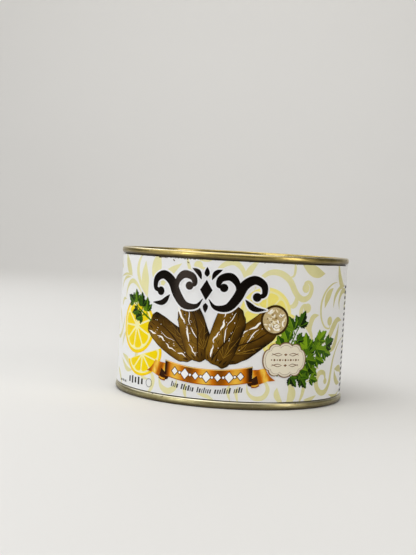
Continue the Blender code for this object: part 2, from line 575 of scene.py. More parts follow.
def place_group(tree, name, **values):
    """A node group placed in a material, with its own values."""
    node = tree.nodes.new("ShaderNodeGroup")
    node.node_tree = bpy.data.node_groups[name]
    for title, value in values.items():
        node.inputs[title.replace("_", " ")].default_value = value
    return node


def add_relief(tree, shader, height, strength, distance):
    """A Bump node that turns a height into the shader's normal."""
    bump = tree.nodes.new("ShaderNodeBump")
    bump.inputs["Strength"].default_value = strength
    bump.inputs["Distance"].default_value = distance
    tree.links.new(height, bump.inputs["Height"])
    tree.links.new(bump.outputs["Normal"], shader.inputs["Normal"])


def ink_material(name, stops, unevenness, scale, gloss=COATED_GLOSS):
    """Printing ink on coated paper: the piece's tone, made a little uneven, picks the colour."""
    material, tree, shader = new_material(name)
    shader.inputs["Specular IOR Level"].default_value = INK_COATING
    grain = place_group(tree, "paper_grain", Gloss=gloss)
    mottle = noise_node(tree, scale, detail=4.0, roughness=0.65)
    shift = math_node(tree, "MULTIPLY_ADD", mottle, 2 * unevenness, -unevenness)
    ramp = tree.nodes.new("ShaderNodeValToRGB")
    points = ramp.color_ramp.elements
    while len(points) < len(stops):
        points.new(0.5)
    for point, (position, colour) in zip(points, stops):
        point.position = position
        point.color = (*colour, 1.0)
    link_all(tree, ramp, {"Fac": math_node(tree, "ADD", attribute_value(tree, "tone"), shift)})
    link_all(tree, shader, {"Base Color": ramp.outputs["Color"], "Roughness": grain.outputs["Roughness"]})
    add_relief(tree, shader, grain.outputs["Height"], 0.05, 0.00004)
    return material


def paper_material(colours):
    """Coated white paper: faint streaks in the colour, fibre in the relief."""
    material, tree, shader = new_material("coated_paper")
    shader.inputs["Specular IOR Level"].default_value = COATING
    grain = place_group(tree, "paper_grain")
    faint = spread(tree, grain.outputs["Streaks"], 0.3, 0.75, 0.0, 0.10)
    tint = mix_colours(tree, faint, colours.paper, colours.paper_streak)
    link_all(tree, shader, {"Base Color": tint, "Roughness": grain.outputs["Roughness"]})
    add_relief(tree, shader, grain.outputs["Height"], 0.06, 0.00004)
    return material


def paper_edge_material(colours):
    """Bare paper at the cut edges and on the back, rougher than the coated face."""
    material, tree, shader = new_material("bare_paper")
    grain = place_group(tree, "paper_grain", Fibre_Scale=1800.0, Gloss=0.78)
    faint = spread(tree, grain.outputs["Height"], 0.4, 0.9, 0.0, 0.35)
    tint = mix_colours(tree, faint, colours.paper_core, colours.core_shade)
    link_all(tree, shader, {"Base Color": tint, "Roughness": grain.outputs["Roughness"]})
    add_relief(tree, shader, grain.outputs["Height"], 0.35, 0.00006)
    return material


def lacquer_material(name, colours, lacquer, gloss):
    """Gold lacquer over drawn tinplate, duller in patches and rubbed bare in small spots, with painted
    shade low on the seam and in the groove, and a pale crest line that is partly wear and partly painted
    highlight.
    """
    material, tree, shader = new_material(name)
    metal = place_group(tree, "drawn_metal").outputs
    patches = math_node(tree, "MULTIPLY", metal["Patches"], 0.28)
    streak = spread(tree, metal["Lines"], 0.35, 0.7, 0.0, 0.35)
    streaky = math_node(tree, "ADD", patches, streak)
    dull = math_node(tree, "MULTIPLY_ADD", metal["Mottle"], 0.26, streaky)
    base = mix_colours(tree, dull, lacquer, colours.dull_lacquer)
    # The pale crest line, partly wear and partly painted highlight, with real rubbed spots
    thin = math_node(tree, "MULTIPLY_ADD", metal["Patches"], -0.35, 0.8)
    crest = math_node(tree, "MULTIPLY", attribute_value(tree, "worn"), thin)
    rubbed_and_highlight = math_node(tree, "MULTIPLY_ADD", metal["Rubbed"], 0.5, crest)
    worn = mix_colours(tree, rubbed_and_highlight, base, colours.bare_tin_and_highlight)
    # Painted shade low on the seam and in the groove, joined with real dark lines and pits, darkens the
    # lacquer
    broken = math_node(tree, "MULTIPLY_ADD", metal["Lines"], 0.9, -0.45)
    shade_and_line_dirt = math_node(tree, "ADD", attribute_value(tree, "soil"), broken)
    shade_and_dirt_share = spread(tree, math_node(tree, "MAXIMUM", shade_and_line_dirt, metal["Pits"]), 0.15, 1.0, 0.0, 0.92)
    rough = math_node(tree, "MULTIPLY_ADD", metal["Lines"], 0.20, gloss)
    patchy = math_node(tree, "MULTIPLY_ADD", patches, 0.18, rough)
    with_shade_and_dirt = mix_colours(tree, shade_and_dirt_share, worn, colours.soil)
    matt = math_node(tree, "MULTIPLY_ADD", shade_and_dirt_share, 0.25, patchy)
    link_all(tree, shader, {"Base Color": with_shade_and_dirt, "Roughness": matt})
    shader.inputs["Metallic"].default_value = 1.0
    shader.inputs["Coat Weight"].default_value = 0.35
    shader.inputs["Coat Roughness"].default_value = 0.16
    add_relief(tree, shader, metal["Height"], 0.22, 0.00008)
    return material


def tinplate_material(colours):
    """Plain tinplate of the wall, with lines round the tin, dull patches and painted shade under the seams.
    """
    material, tree, shader = new_material("plain_tinplate")
    metal = place_group(tree, "drawn_metal", Line_Scale=60.0).outputs
    plain = mix_colours(tree, metal["Patches"], colours.tinplate, colours.dull_tinplate)
    # Painted shade on the wall under the seams
    with_shade_and_dirt = mix_colours(tree, attribute_value(tree, "soil"), plain, colours.soil)
    rough = math_node(tree, "MULTIPLY_ADD", metal["Lines"], 0.25, 0.25)
    link_all(tree, shader, {"Base Color": with_shade_and_dirt, "Roughness": rough})
    shader.inputs["Metallic"].default_value = 1.0
    add_relief(tree, shader, metal["Height"], 0.3, 0.00010)
    return material


# Metal parts

# The pressed end, in metres: its depths run down from the crest of the seam, and each ring has its
# radius, its width and its height
PANEL_DEPTH = 0.0034
EDGE_DEPTH = 0.0039
BACK_DEPTH = 0.0043
FOOT_DEPTH = 0.0052
INNER_RING = (0.0295, 0.0030, 0.0006)
OUTER_RING = (0.0421, 0.0034, 0.0008)
RING_STEPS = 10
GROOVE = (0.0480, -0.0044)
GROOVE_RADIUS = 0.0004

# The seam is widest a little below its crest
SEAM_WIDEST = 0.0014
CREST_ROUND = 0.00085
HEM_ROUND = 0.0008

# How far in from its radius the seam's face and the whole seam reach, and where the groove lies
SEAM_FACE = 0.0014
SEAM_REACH = 0.0016
GROOVE_SPAN = (0.0475, 0.0489)

# Painted shade and wear of each seam, in shares of its height down from the crest: where the painted shade
# starts, how far it takes to grow full, and the middle of the pale crest line, partly wear and partly
# painted highlight
TOP_SHADE_AND_WEAR = (0.34, 0.50, 0.06)
BOTTOM_SHADE_AND_WEAR = (0.85, -0.65, 0.92)
RUB_AND_HIGHLIGHT_REACH = 0.12

# Knocks that the photograph shows: the angle from the front, in degrees, the height from the crest, the
# share of the full depth, and the reach
TOP_KNOCKS = ((36, -0.0006, 1.2, 0.0007), (-27, -0.0020, 0.8, 0.0012))
BOTTOM_KNOCKS = ((12, -0.0012, 0.9, 0.0010), (-52, -0.0008, 1.0, 0.0009))
SMALL_KNOCKS = 14
SMALL_KNOCK_REACH = 0.0009

# How far the wall reaches into a seam, how thick it is, and how high above its ends shade is painted on it
WALL_TUCK = 0.0004
WALL_SHEET = 0.0004
PAINTED_SHADE_HEIGHT = 0.0045


def arc(centre, radius, start, end, steps):
    """Points of a round stretch of a profile, from one angle to the other, in degrees."""
    points = []
    for i in range(steps + 1):
        angle = math.radians(start + (end - start) * i / steps)
        points.append((centre[0] + radius * math.cos(angle), centre[1] + radius * math.sin(angle)))
    return points


def pressed_ring(radius, width, height, depth):
    """A soft raised ring pressed into the panel."""
    points = []
    for i in range(RING_STEPS + 1):
        share = i / RING_STEPS
        rise = min(1.0, 1.35 * math.sin(math.pi * share))
        rise = rise * rise * (3 - 2 * rise)
        points.append((radius + width * (share - 0.5), height * rise - depth))
    return points


def end_section(outer, seam):
    """Half section of a can end as a thin sheet: up over the panel and the seam, and back below.

    Heights run down from the crest of the seam, at zero. The seam is a rolled hem, round outside.
    """
    low = -seam
    points = [(radius, -PANEL_DEPTH) for radius in (0.0, 0.012, 0.022, 0.0272)]
    points += pressed_ring(*INNER_RING, PANEL_DEPTH)
    points += [(0.0335, -PANEL_DEPTH), (0.0366, -PANEL_DEPTH), (0.0370, -0.00346), (0.0378, -0.00384)]
    points += [(0.0382, -EDGE_DEPTH), (0.0392, -EDGE_DEPTH)]
    points += pressed_ring(*OUTER_RING, EDGE_DEPTH)
    points += [(0.0450, -EDGE_DEPTH), (0.0468, -EDGE_DEPTH), (0.0471, -0.00395)]
    points += arc(GROOVE, GROOVE_RADIUS, 180, 352, 8)
    points += [(0.0486, -0.0035), (0.0489, -0.0020), (0.04915, -0.0010)]
    points += arc((outer - 0.00105, -0.0006), 0.0006, 180, 96, 6)
    crest = outer - CREST_ROUND
    for i in range(11):
        angle = math.pi / 2 * (1 - i / 10)
        points.append((crest + CREST_ROUND * math.cos(angle), SEAM_WIDEST * (math.sin(angle) - 1)))
    hem = outer - HEM_ROUND
    for i in range(1, 9):
        angle = math.pi / 2 * i / 9
        height = -SEAM_WIDEST + (low + SEAM_WIDEST) * math.sin(angle)
        points.append((hem + HEM_ROUND * math.cos(angle), height))
    points += [(hem, low), (0.04980, low + 0.0002), (0.0494, low + 0.0006), (0.0488, -FOOT_DEPTH)]
    points += [(0.0474, -FOOT_DEPTH), (0.0467, -BACK_DEPTH), (0.0, -BACK_DEPTH)]
    return points


def lathe(section, steps, closed=False):
    """A bmesh turned round Z from a half section, which is a closed line or runs from axis to axis."""
    bm = bmesh.new()
    verts = [bm.verts.new((radius, 0.0, height)) for radius, height in section]
    edges = [bm.edges.new((verts[i - 1], vert)) for i, vert in enumerate(verts) if closed or i]
    bmesh.ops.spin(
        bm,
        geom=verts + edges,
        cent=(0, 0, 0),
        axis=(0, 0, 1),
        angle=2 * math.pi,
        steps=steps,
        use_merge=True,
    )
    bmesh.ops.remove_doubles(bm, verts=bm.verts, dist=WELD)
    bmesh.ops.recalc_face_normals(bm, faces=bm.faces)
    return bm


def mark_shade_and_wear(bm, outer, seam, shade_and_wear):
    """Marks where shade is painted, low on the seam and in the groove, and the pale crest line, partly wear
    and partly painted highlight.
    """
    soil = bm.verts.layers.float.new("soil")
    worn = bm.verts.layers.float.new("worn")
    start, growth, rubbed_and_highlight = shade_and_wear
    for vert in bm.verts:
        radius = math.hypot(vert.co.x, vert.co.y)
        share = -vert.co.z / seam
        if radius > outer - SEAM_FACE:
            # Painted shade grows down the seam's face
            vert[soil] = min(max((share - start) / growth, 0.0), 1.0)
            # The pale crest line: partly wear, partly painted highlight
            vert[worn] = min(max(1 - abs(share - rubbed_and_highlight) / RUB_AND_HIGHLIGHT_REACH, 0.0), 1.0)
        elif GROOVE_SPAN[0] < radius < GROOVE_SPAN[1]:
            # Painted shade in the groove
            vert[soil] = min(max((share - 0.6) / 0.9, 0.0), 0.3)


def knock_seam(bm, outer, seam, depth, seed, knocks):
    """Small knocks and a slight waviness in the outside of a seam, always inwards."""
    rng = random.Random(seed)
    low = -seam
    marks = list(knocks)
    for _ in range(SMALL_KNOCKS):
        marks.append((
            rng.uniform(-180, 180),
            rng.uniform(low, 0.0),
            rng.uniform(0.2, 0.6),
            SMALL_KNOCK_REACH,
        ))
    for vert in bm.verts:
        radius = math.hypot(vert.co.x, vert.co.y)
        if radius < outer - SEAM_REACH or vert.co.z < low - 0.00005:
            continue
        angle = math.degrees(math.atan2(vert.co.x, -vert.co.y))
        push = 0.12 * (1 + math.sin(math.radians(9 * angle))) / 2
        for place, height, share, reach in marks:
            away = math.radians((angle - place + 180) % 360 - 180) * outer
            gap = math.hypot(away, 1.4 * (vert.co.z - height))
            push += share * math.exp(-((gap / reach) ** 2))
        shrink = 1 - push * depth / radius
        vert.co.x *= shrink
        vert.co.y *= shrink
    bm.normal_update()


def seamed_end(sizes, seam, shade_and_wear, seed, knocks):
    """A can end with its seam, at zero, marked for painted shade, wear and painted highlight, and knocked.
    """
    outer = sizes.seam_radius
    end = lathe(end_section(outer, seam), LATHE_STEPS)
    mark_shade_and_wear(end, outer, seam, shade_and_wear)
    knock_seam(end, outer, seam, sizes.seam_wear, seed, knocks)
    return end


class TIN_OT_ends(bpy.types.Operator):
    """Turns the two pressed can ends with their rolled seams."""

    bl_idname = "tin.ends"
    bl_label = "Can ends"

    def execute(self, context):
        sizes = context.scene.tin_sizes
        colours = context.scene.tin_colours
        glossy = lacquer_material("gold_lacquered_tinplate", colours, colours.lacquer, 0.16)
        rubbed_and_highlight = lacquer_material("worn_lacquered_tinplate", colours, colours.worn_lacquer, 0.22)

        top = seamed_end(sizes, sizes.top_seam, TOP_SHADE_AND_WEAR, 4, TOP_KNOCKS)
        bmesh.ops.translate(top, verts=top.verts, vec=(0, 0, sizes.height))
        top_end = make_object(context, "top_end_shell", top, [glossy])
        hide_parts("top_end")

        bottom = seamed_end(sizes, sizes.bottom_seam, BOTTOM_SHADE_AND_WEAR, 9, BOTTOM_KNOCKS)
        bmesh.ops.scale(bottom, verts=bottom.verts, vec=(1, 1, -1))
        bmesh.ops.recalc_face_normals(bottom, faces=bottom.faces)
        bottom_end = make_object(context, "bottom_end_shell", bottom, [rubbed_and_highlight])
        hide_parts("bottom_end")
        return {"FINISHED"}


class TIN_OT_wall(bpy.types.Operator):
    """Turns the tinplate wall, necked in a little under each seam."""

    bl_idname = "tin.wall"
    bl_label = "Tin wall"

    def execute(self, context):
        sizes = context.scene.tin_sizes
        wall = sizes.wall_radius
        neck = sizes.neck_radius
        inside = neck - WALL_SHEET
        low = sizes.top_seam - WALL_TUCK
        section = [(neck, low), (neck, low + 0.0006), (wall, low + 0.0016)]
        section += [(wall, 0.010), (wall, 0.022), (wall, 0.0315)]
        section += [(radius, sizes.height - height) for radius, height in section[-2::-1]]
        section += [(inside, sizes.height - low), (inside, low)]
        bm = lathe(section, COLUMNS, closed=True)
        soil = bm.verts.layers.float.new("soil")
        # Painted shade on the wall under each seam
        for vert in bm.verts:
            end_gap = min(vert.co.z, sizes.height - vert.co.z)
            vert[soil] = 0.85 if end_gap < PAINTED_SHADE_HEIGHT else 0.0
        tinplate = tinplate_material(context.scene.tin_colours)
        piece = make_object(context, "tin_wall", bm, [tinplate])
        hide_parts("can_body")
        return {"FINISHED"}


class TIN_OT_label(bpy.types.Operator):
    """Lays the paper round the wall, with its outer end glued over its inner end at the back."""

    bl_idname = "tin.label"
    bl_label = "Label paper"

    def execute(self, context):
        sizes = context.scene.tin_sizes
        thickness = sizes.paper_thickness / MM
        bm = bmesh.new()
        bmesh.ops.create_grid(bm, x_segments=COLUMNS + OVERLAP_COLUMNS, y_segments=ROWS, size=1.0)
        bmesh.ops.scale(bm, verts=bm.verts, vec=(SHEET_END, (LABEL_HIGH - LABEL_LOW) / 2, 1.0))
        bmesh.ops.translate(bm, verts=bm.verts, vec=(0, (LABEL_HIGH + LABEL_LOW) / 2, 0))
        for k in (-2, -1, 0, 1, 2):
            cut_flat(bm, (0, LABEL_HIGH - CREASE_DROP + k * CREASE_REACH, 0), (0, 1, 0))
        back = bmesh.ops.extrude_face_region(bm, geom=bm.faces[:], use_keep_orig=True)
        bmesh.ops.translate(bm, verts=verts_of(back), vec=(0, 0, -thickness))
        bmesh.ops.recalc_face_normals(bm, faces=bm.faces)
        for poly in bm.faces:
            poly.material_index = 0 if poly.normal.z > 0.5 else 1
        wrap_all(bm, sizes)
        colours = context.scene.tin_colours
        finishes = [paper_material(colours), paper_edge_material(colours)]
        piece = make_object(context, "label_paper", bm, finishes)
        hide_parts("label")
        return {"FINISHED"}


# Printed ornament


# The scroll pattern, drawn for one half of the label and repeated on the other half. Each
# stroke has its half width, the share of the way to its thickest place, the radius of the ball at its
# end, and the places (u, z) that it runs through.
REPEATS = 2
STROKES = (
    # Left of the front
    (2.2, 0.5, 0, ((-52.6, 51.2), (-55.2, 53.2), (-58.2, 56.6), (-60.6, 60.8))),
    (0.5, 0.4, 0, ((-52.0, 50.8), (-58.0, 51.3), (-64.0, 50.6), (-70.0, 49.2))),
    (0.7, 0.4, 0, ((-53.5, 50.2), (-59.0, 49.8), (-64.0, 47.5), (-67.0, 43.5))),
    (1.0, 0.5, 0, (
        (-58.5, 40.5), (-57.5, 44.5), (-54.8, 47.6), (-51.0, 48.6), (-46.6, 46.6), (-41.5, 41.5),
    )),
    (1.1, 0.4, 0, (
        (-44.0, 61.0), (-46.8, 57.0), (-47.3, 53.0), (-45.5, 49.0), (-42.0, 45.0), (-38.5, 41.5),
    )),
    (2.5, 0.5, 0, ((-39.6, 43.0), (-41.4, 47.5), (-42.0, 52.0), (-41.8, 57.6))),
    (2.7, 0.7, 0, ((-32.4, 45.5), (-34.6, 50.5), (-35.0, 55.0), (-33.8, 62.0))),
    (1.8, 0.5, 0, ((-31.8, 46.4), (-30.4, 50.8), (-26.8, 54.4), (-22.2, 57.7))),
    (0.8, 0.3, 0, ((-64.0, 37.0), (-61.5, 40.2), (-57.5, 40.4))),
    (0.8, 0.4, 0, ((-70.0, 36.0), (-66.0, 33.0), (-63.0, 28.0))),
    (1.0, 0.4, 0, ((-71.0, 23.5), (-66.5, 23.2), (-62.6, 25.4), (-60.0, 29.5), (-58.6, 34.0))),
    (0.8, 0.4, 0, ((-60.5, 19.5), (-59.0, 23.6), (-55.4, 26.4), (-50.6, 27.2))),
    (1.2, 0.5, 0, ((-48.6, 11.4), (-53.0, 14.6), (-59.5, 16.6))),
    (1.1, 0.5, 0, ((-48.6, 10.6), (-53.5, 10.8), (-59.8, 14.6))),
    (1.1, 0.4, 0, ((-46.0, 22.0), (-45.4, 17.6), (-47.0, 13.4), (-50.0, 9.8))),
    (0.9, 0.4, 0, ((-43.4, 15.0), (-42.0, 11.4), (-39.6, 8.8), (-36.0, 8.6))),
    (1.0, 0.4, 0, ((-36.2, 13.0), (-33.8, 9.0), (-34.8, 4.6), (-37.8, 2.0))),
    (1.3, 0.5, 0, ((-30.8, 10.5), (-29.2, 6.6), (-25.8, 5.0), (-22.4, 7.0), (-21.8, 10.4))),
    (0.9, 0.4, 0, ((-66.0, 10.0), (-61.6, 6.8), (-57.6, 2.5))),
    # Middle of the front
    (0.7, 0.4, 0, ((-20.0, 61.0), (-19.2, 57.5), (-17.7, 54.6), (-15.0, 53.0))),
    (0.8, 0.4, 1.9, ((-9.5, 52.5), (-11.0, 55.4), (-14.9, 57.3))),
    (1.0, 0.5, 0, ((-14.8, 59.6), (-11.0, 60.0), (-7.5, 61.2))),
    (1.1, 0.5, 0, (
        (-7.6, 50.5), (-7.2, 54.5), (-4.5, 58.0), (-0.5, 59.3), (2.8, 57.2), (4.6, 53.0),
        (5.2, 47.0),
    )),
    (1.3, 0.6, 0, ((5.2, 47.0), (5.0, 53.0), (6.6, 57.0), (10.5, 61.5))),
    (1.2, 0.4, 0, ((-6.0, 50.0), (-3.0, 52.5), (0.5, 51.5), (3.4, 48.0))),
    (0.8, 0.4, 0, ((-17.4, 9.4), (-18.0, 6.0), (-17.0, 2.4))),
    (0.8, 0.4, 0, ((-12.6, 5.4), (-8.4, 4.6), (-4.6, 2.4))),
    (0.7, 0.4, 0, ((0.8, 10.5), (0.0, 7.0), (1.2, 3.0))),
    (0.7, 0.4, 0, ((4.0, 9.4), (3.4, 6.5), (4.4, 2.4))),
    (1.0, 0.5, 0, (
        (7.4, 10.4), (8.2, 7.0), (11.0, 4.9), (14.6, 5.4), (16.4, 8.4), (15.0, 11.4), (12.4, 11.2),
    )),
    # Right of the front
    (1.35, 0.3, 1.9, (
        (8.4, 48.5), (10.2, 52.5), (14.2, 55.8), (19.0, 55.9), (23.5, 53.2), (26.3, 48.8),
        (28.3, 46.6), (31.0, 45.6), (33.8, 46.9), (35.0, 49.8), (34.4, 51.8), (32.9, 52.7),
        (31.3, 52.1), (31.8, 50.2),
    )),
    (1.2, 0.5, 0, ((26.8, 48.2), (27.2, 44.8), (25.8, 42.8), (23.0, 42.8))),
    (0.6, 0.3, 0, ((25.6, 61.0), (25.9, 57.6), (25.2, 55.0), (22.8, 54.4))),
    (2.4, 0.5, 0, ((42.9, 56.4), (38.5, 56.6), (33.5, 58.2), (28.0, 62.0))),
    (1.1, 0.3, 2.0, (
        (37.6, 27.0), (35.6, 32.0), (32.0, 36.2), (30.0, 39.4), (30.3, 42.2), (31.9, 43.3),
        (33.2, 42.0),
    )),
    (1.3, 0.6, 0, ((36.2, 30.0), (35.4, 34.5), (36.8, 38.2), (40.4, 39.2))),
    (0.55, 0.4, 1.95, (
        (54.0, 52.9), (49.0, 52.0), (44.3, 49.0), (41.6, 44.0), (41.9, 38.2), (44.6, 34.2),
        (48.6, 33.4), (48.6, 36.4),
    )),
    (1.8, 0.5, 0, ((44.0, 42.0), (45.3, 45.6), (47.2, 48.3), (50.2, 50.4))),
    (2.0, 0.5, 0, ((64.0, 51.0), (59.8, 51.6), (56.4, 55.0), (54.0, 61.5))),
    (1.0, 0.35, 0, ((51.0, 42.0), (52.4, 46.8), (56.5, 50.0), (61.0, 50.9), (66.0, 51.1))),
    (1.2, 0.4, 1.5, (
        (58.0, 41.0), (57.0, 44.6), (59.3, 47.9), (63.0, 49.0), (67.5, 48.4), (70.0, 45.0),
        (67.4, 42.4),
    )),
    (1.8, 0.5, 0, ((43.0, 26.5), (48.6, 29.8), (52.4, 34.0), (56.4, 36.6), (62.0, 36.2))),
    (1.6, 0.5, 0, ((48.0, 22.6), (53.6, 25.4), (56.6, 29.8), (58.6, 35.2))),
    (1.3, 0.75, 1.3, (
        (69.0, 29.0), (61.5, 27.4), (56.6, 24.0), (53.6, 19.5), (52.2, 14.5), (51.0, 9.8),
        (48.0, 6.6), (44.2, 6.4), (41.4, 9.0), (41.1, 12.4), (43.3, 14.8), (46.6, 14.3),
        (47.6, 11.0),
    )),
    (1.5, 0.5, 0, ((56.0, 15.4), (60.0, 15.4), (64.0, 14.8), (68.5, 11.6))),
    (1.5, 0.5, 0, ((56.0, 15.0), (57.3, 11.8), (60.5, 9.4), (65.0, 8.6))),
    (0.9, 0.4, 0, ((33.6, 12.0), (33.2, 7.0), (31.0, 2.0))),
    (2.0, 0.5, 0, ((25.4, 11.5), (27.4, 8.0), (27.0, 4.6), (24.6, 1.0))),
    (1.3, 0.5, 0, ((20.4, 9.4), (20.6, 6.0), (23.8, 1.6))),
    (0.9, 0.5, 0, ((34.0, 3.9), (37.4, 4.0), (41.4, 5.4))),
    (0.6, 0.4, 0, ((34.6, 11.2), (37.6, 12.6), (39.6, 16.4), (42.4, 16.8))),
    (0.8, 0.5, 0, ((51.4, 4.9), (55.4, 4.0), (60.0, 3.6), (65.0, 5.6))),
    # Sides
    (1.4, 0.4, 1.5, (
        (72.6, 2.0), (75.5, 9.0), (74.0, 17.0), (71.0, 23.0), (71.8, 28.0), (74.4, 30.6),
        (76.9, 29.9), (77.0, 27.4),
    )),
    (1.9, 0.5, 0, ((74.0, 17.6), (78.4, 22.0), (80.6, 29.0))),
    (1.2, 0.4, 1.5, (
        (76.4, 33.0), (73.0, 38.5), (74.0, 45.0), (78.4, 50.0), (78.0, 56.6), (73.6, 57.6),
        (73.4, 54.4),
    )),
    (1.6, 0.5, 0, ((-72.0, 1.5), (-74.6, 8.5), (-72.0, 15.6))),
    (1.1, 0.5, 0, ((-80.0, 33.0), (-75.8, 37.0), (-74.8, 43.0), (-78.6, 48.6))),
    (1.6, 0.5, 0, ((-76.0, 61.5), (-73.6, 56.4), (-68.0, 53.4))),
    (1.0, 0.4, 1.4, (
        (-69.6, 14.0), (-74.6, 18.6), (-76.6, 24.6), (-75.4, 28.2), (-73.0, 29.3), (-71.4, 27.2),
    )),
)

# The strokes that fill the middle of the back, where the front has its picture
BACK_STROKES = (
    (1.3, 0.4, 1.6, (
        (5.2, 48.5), (4.6, 42.5), (1.0, 36.8), (-4.5, 33.0), (-10.5, 31.6), (-15.8, 33.8),
        (-17.8, 38.4), (-15.4, 42.2), (-11.6, 41.6), (-10.8, 38.6),
    )),
    (1.9, 0.5, 0, ((1.6, 37.0), (6.5, 35.6), (11.6, 37.2), (15.8, 41.8))),
    (1.7, 0.5, 0, ((-4.0, 33.0), (-4.4, 27.8), (-1.4, 23.4), (4.4, 20.6))),
    (1.2, 0.4, 1.5, (
        (0.8, 7.6), (1.6, 13.6), (5.6, 19.6), (12.0, 23.2), (18.6, 22.8), (22.6, 19.0),
        (21.8, 14.8), (18.2, 13.8), (16.8, 16.8),
    )),
    (1.8, 0.5, 0, ((12.6, 23.4), (17.0, 27.6), (23.2, 29.0), (30.0, 26.8))),
    (1.2, 0.5, 0, ((24.6, 42.8), (20.0, 40.8), (17.6, 36.4), (18.8, 31.4))),
    (1.2, 0.4, 1.5, (
        (-21.8, 9.4), (-20.8, 15.4), (-23.8, 21.0), (-29.6, 23.8), (-35.4, 22.6), (-37.6, 18.4),
        (-34.4, 15.6), (-31.6, 17.6),
    )),
    (1.7, 0.5, 0, ((-24.6, 21.6), (-24.0, 26.8), (-27.2, 31.6), (-33.0, 34.4))),
    (1.1, 0.4, 1.4, (
        (-38.8, 42.0), (-37.0, 37.0), (-38.4, 31.6), (-42.6, 28.4), (-47.4, 29.2), (-49.6, 33.2),
        (-47.0, 36.6), (-44.0, 34.6),
    )),
    (1.6, 0.5, 0, ((-37.0, 37.8), (-33.6, 41.4), (-28.8, 42.6), (-23.4, 40.6))),
    (1.0, 0.5, 0, ((-9.6, 52.6), (-12.2, 48.6), (-17.0, 46.8), (-23.0, 48.4))),
    (1.1, 0.5, 0, ((-17.6, 8.4), (-15.8, 13.4), (-11.4, 16.6), (-5.4, 16.8))),
    (1.3, 0.5, 0, ((-9.8, 31.4), (-11.4, 27.0), (-15.2, 24.0), (-19.6, 24.2))),
    (0.9, 0.5, 0, ((7.4, 10.4), (8.6, 14.0), (12.4, 16.4))),
)

# Tone of the pale ink: heavier round the sides and the back, lighter over the middle of the front
HEAVY_TONE = 0.05
FRONT_TONE = 0.50
FRONT_MIDDLE = -10.0
FRONT_REACH = 52.0

# Strength of the pale ink against its own colour where it is light, and by channel where it is heavy
LIGHT_INK = 1.06
HEAVY_INK = (0.71, 0.70, 0.56)


def smooth(places, steps=9):
    """A smooth path through a few places."""
    marks = [complex(*place) for place in places]
    marks = [2 * marks[0] - marks[1], *marks, 2 * marks[-1] - marks[-2]]
    path = [marks[1]]
    for before, start, end, after in zip(marks, marks[1:], marks[2:], marks[3:]):
        for i in range(1, steps + 1):
            t = i / steps
            bend = (2 * before - 5 * start + 4 * end - after) * t * t
            bend += (3 * start - before - 3 * end + after) * t * t * t
            path.append(start + ((end - before) * t + bend) / 2)
    return path


def free_level(laid, path, reach):
    """The lowest level that nothing laid near a path has yet, which the path then takes."""
    taken = set()
    for other, other_reach, level in laid:
        if min(abs(p - q) for p in path[::3] for q in other[::3]) < reach + other_reach + 0.6:
            taken.add(level)
    level = min(k for k in range(len(laid) + 1) if k not in taken)
    laid.append((path, reach, level))
    return level


def scroll_tile(strokes):
    """Outlines of one repeat of the scroll pattern, and the level of each."""
    shapes = []
    laid = []
    for thick, peak, ball, places in strokes:
        path = smooth(places)
        neck = 0.42 * thick if ball else 0.04
        line = up_to_ball(path, ball)
        shapes.append((band(line, swelling(thick, 0.06, neck, peak)), free_level(laid, path, thick)))
        if ball:
            end = path[-1:]
            shapes.append((ring(end[0], ball, 24), free_level(laid, end, ball)))
    return shapes


def scroll_tone(point):
    """Tone of the scrolls, which are printed a little heavier round the sides and the back."""
    away = (point.real - FRONT_MIDDLE) / FRONT_REACH
    return HEAVY_TONE + FRONT_TONE * math.exp(-(away**4))


class TIN_OT_scrolls(bpy.types.Operator):
    """Prints the pale scroll pattern over the whole label."""

    bl_idname = "tin.scrolls"
    bl_label = "Scroll pattern"

    def execute(self, context):
        sheet = PrintedSheet(SCROLL_BASE)
        front = scroll_tile(STROKES)
        back = scroll_tile(STROKES + BACK_STROKES)
        width = TURN / REPEATS
        for k in range(-REPEATS, REPEATS):
            for outline, level in back if k % 2 else front:
                shifted = [point + k * width for point in outline]
                left = min(point.real for point in shifted)
                right = max(point.real for point in shifted)
                if right > PRINT_START + 0.1 and left < SHEET_END - 0.1:
                    sheet.lay(shifted, scroll_tone, level)
        colour = context.scene.tin_colours.scroll
        heavy = [share * part for share, part in zip(HEAVY_INK, colour)]
        stops = ((0.0, heavy), (0.5, colour), (1.0, scaled(colour, LIGHT_INK)))
        ink = ink_material("pale_scroll_ink", stops, 0.25, 90.0)
        sheet.piece(context, "print_scrolls", ink)
        return {"FINISHED"}


# The bold ornament: its middle on the sheet, and how far the pale edge reaches round it
ORNAMENT_MIDDLE = complex(-11.0, 47.6)
HALO_REACH = 0.65

# Thick black ink mirrors the light with a bronze tint
BRONZE_GLOSS = 0.17
BRONZE_TINT = (1.0, 0.76, 0.60)

# The right half of the ornament: half width, share of the way to the thickest place, radius of the ball
# at the end, and the places, measured from the ornament's middle
ORNAMENT_HALF = (
    (2.0, 0.45, 1.8, (
        (1.2, -3.6), (4.0, -6.8), (9.0, -6.6), (12.6, -2.6), (15.4, 2.6), (19.4, 5.0), (23.2, 3.2),
        (23.6, -0.6), (20.7, -1.8),
    )),
    (1.6, 0.45, 1.7, ((12.4, -1.6), (12.6, 2.8), (9.8, 5.8), (6.0, 5.0), (5.0, 2.2), (7.2, 1.3))),
    (1.2, 0.40, 0.0, ((16.0, -3.0), (19.6, -6.4), (25.0, -6.8))),
    (1.0, 0.50, 0.0, ((2.2, 4.2), (3.6, 7.0), (6.4, 8.6))),
)


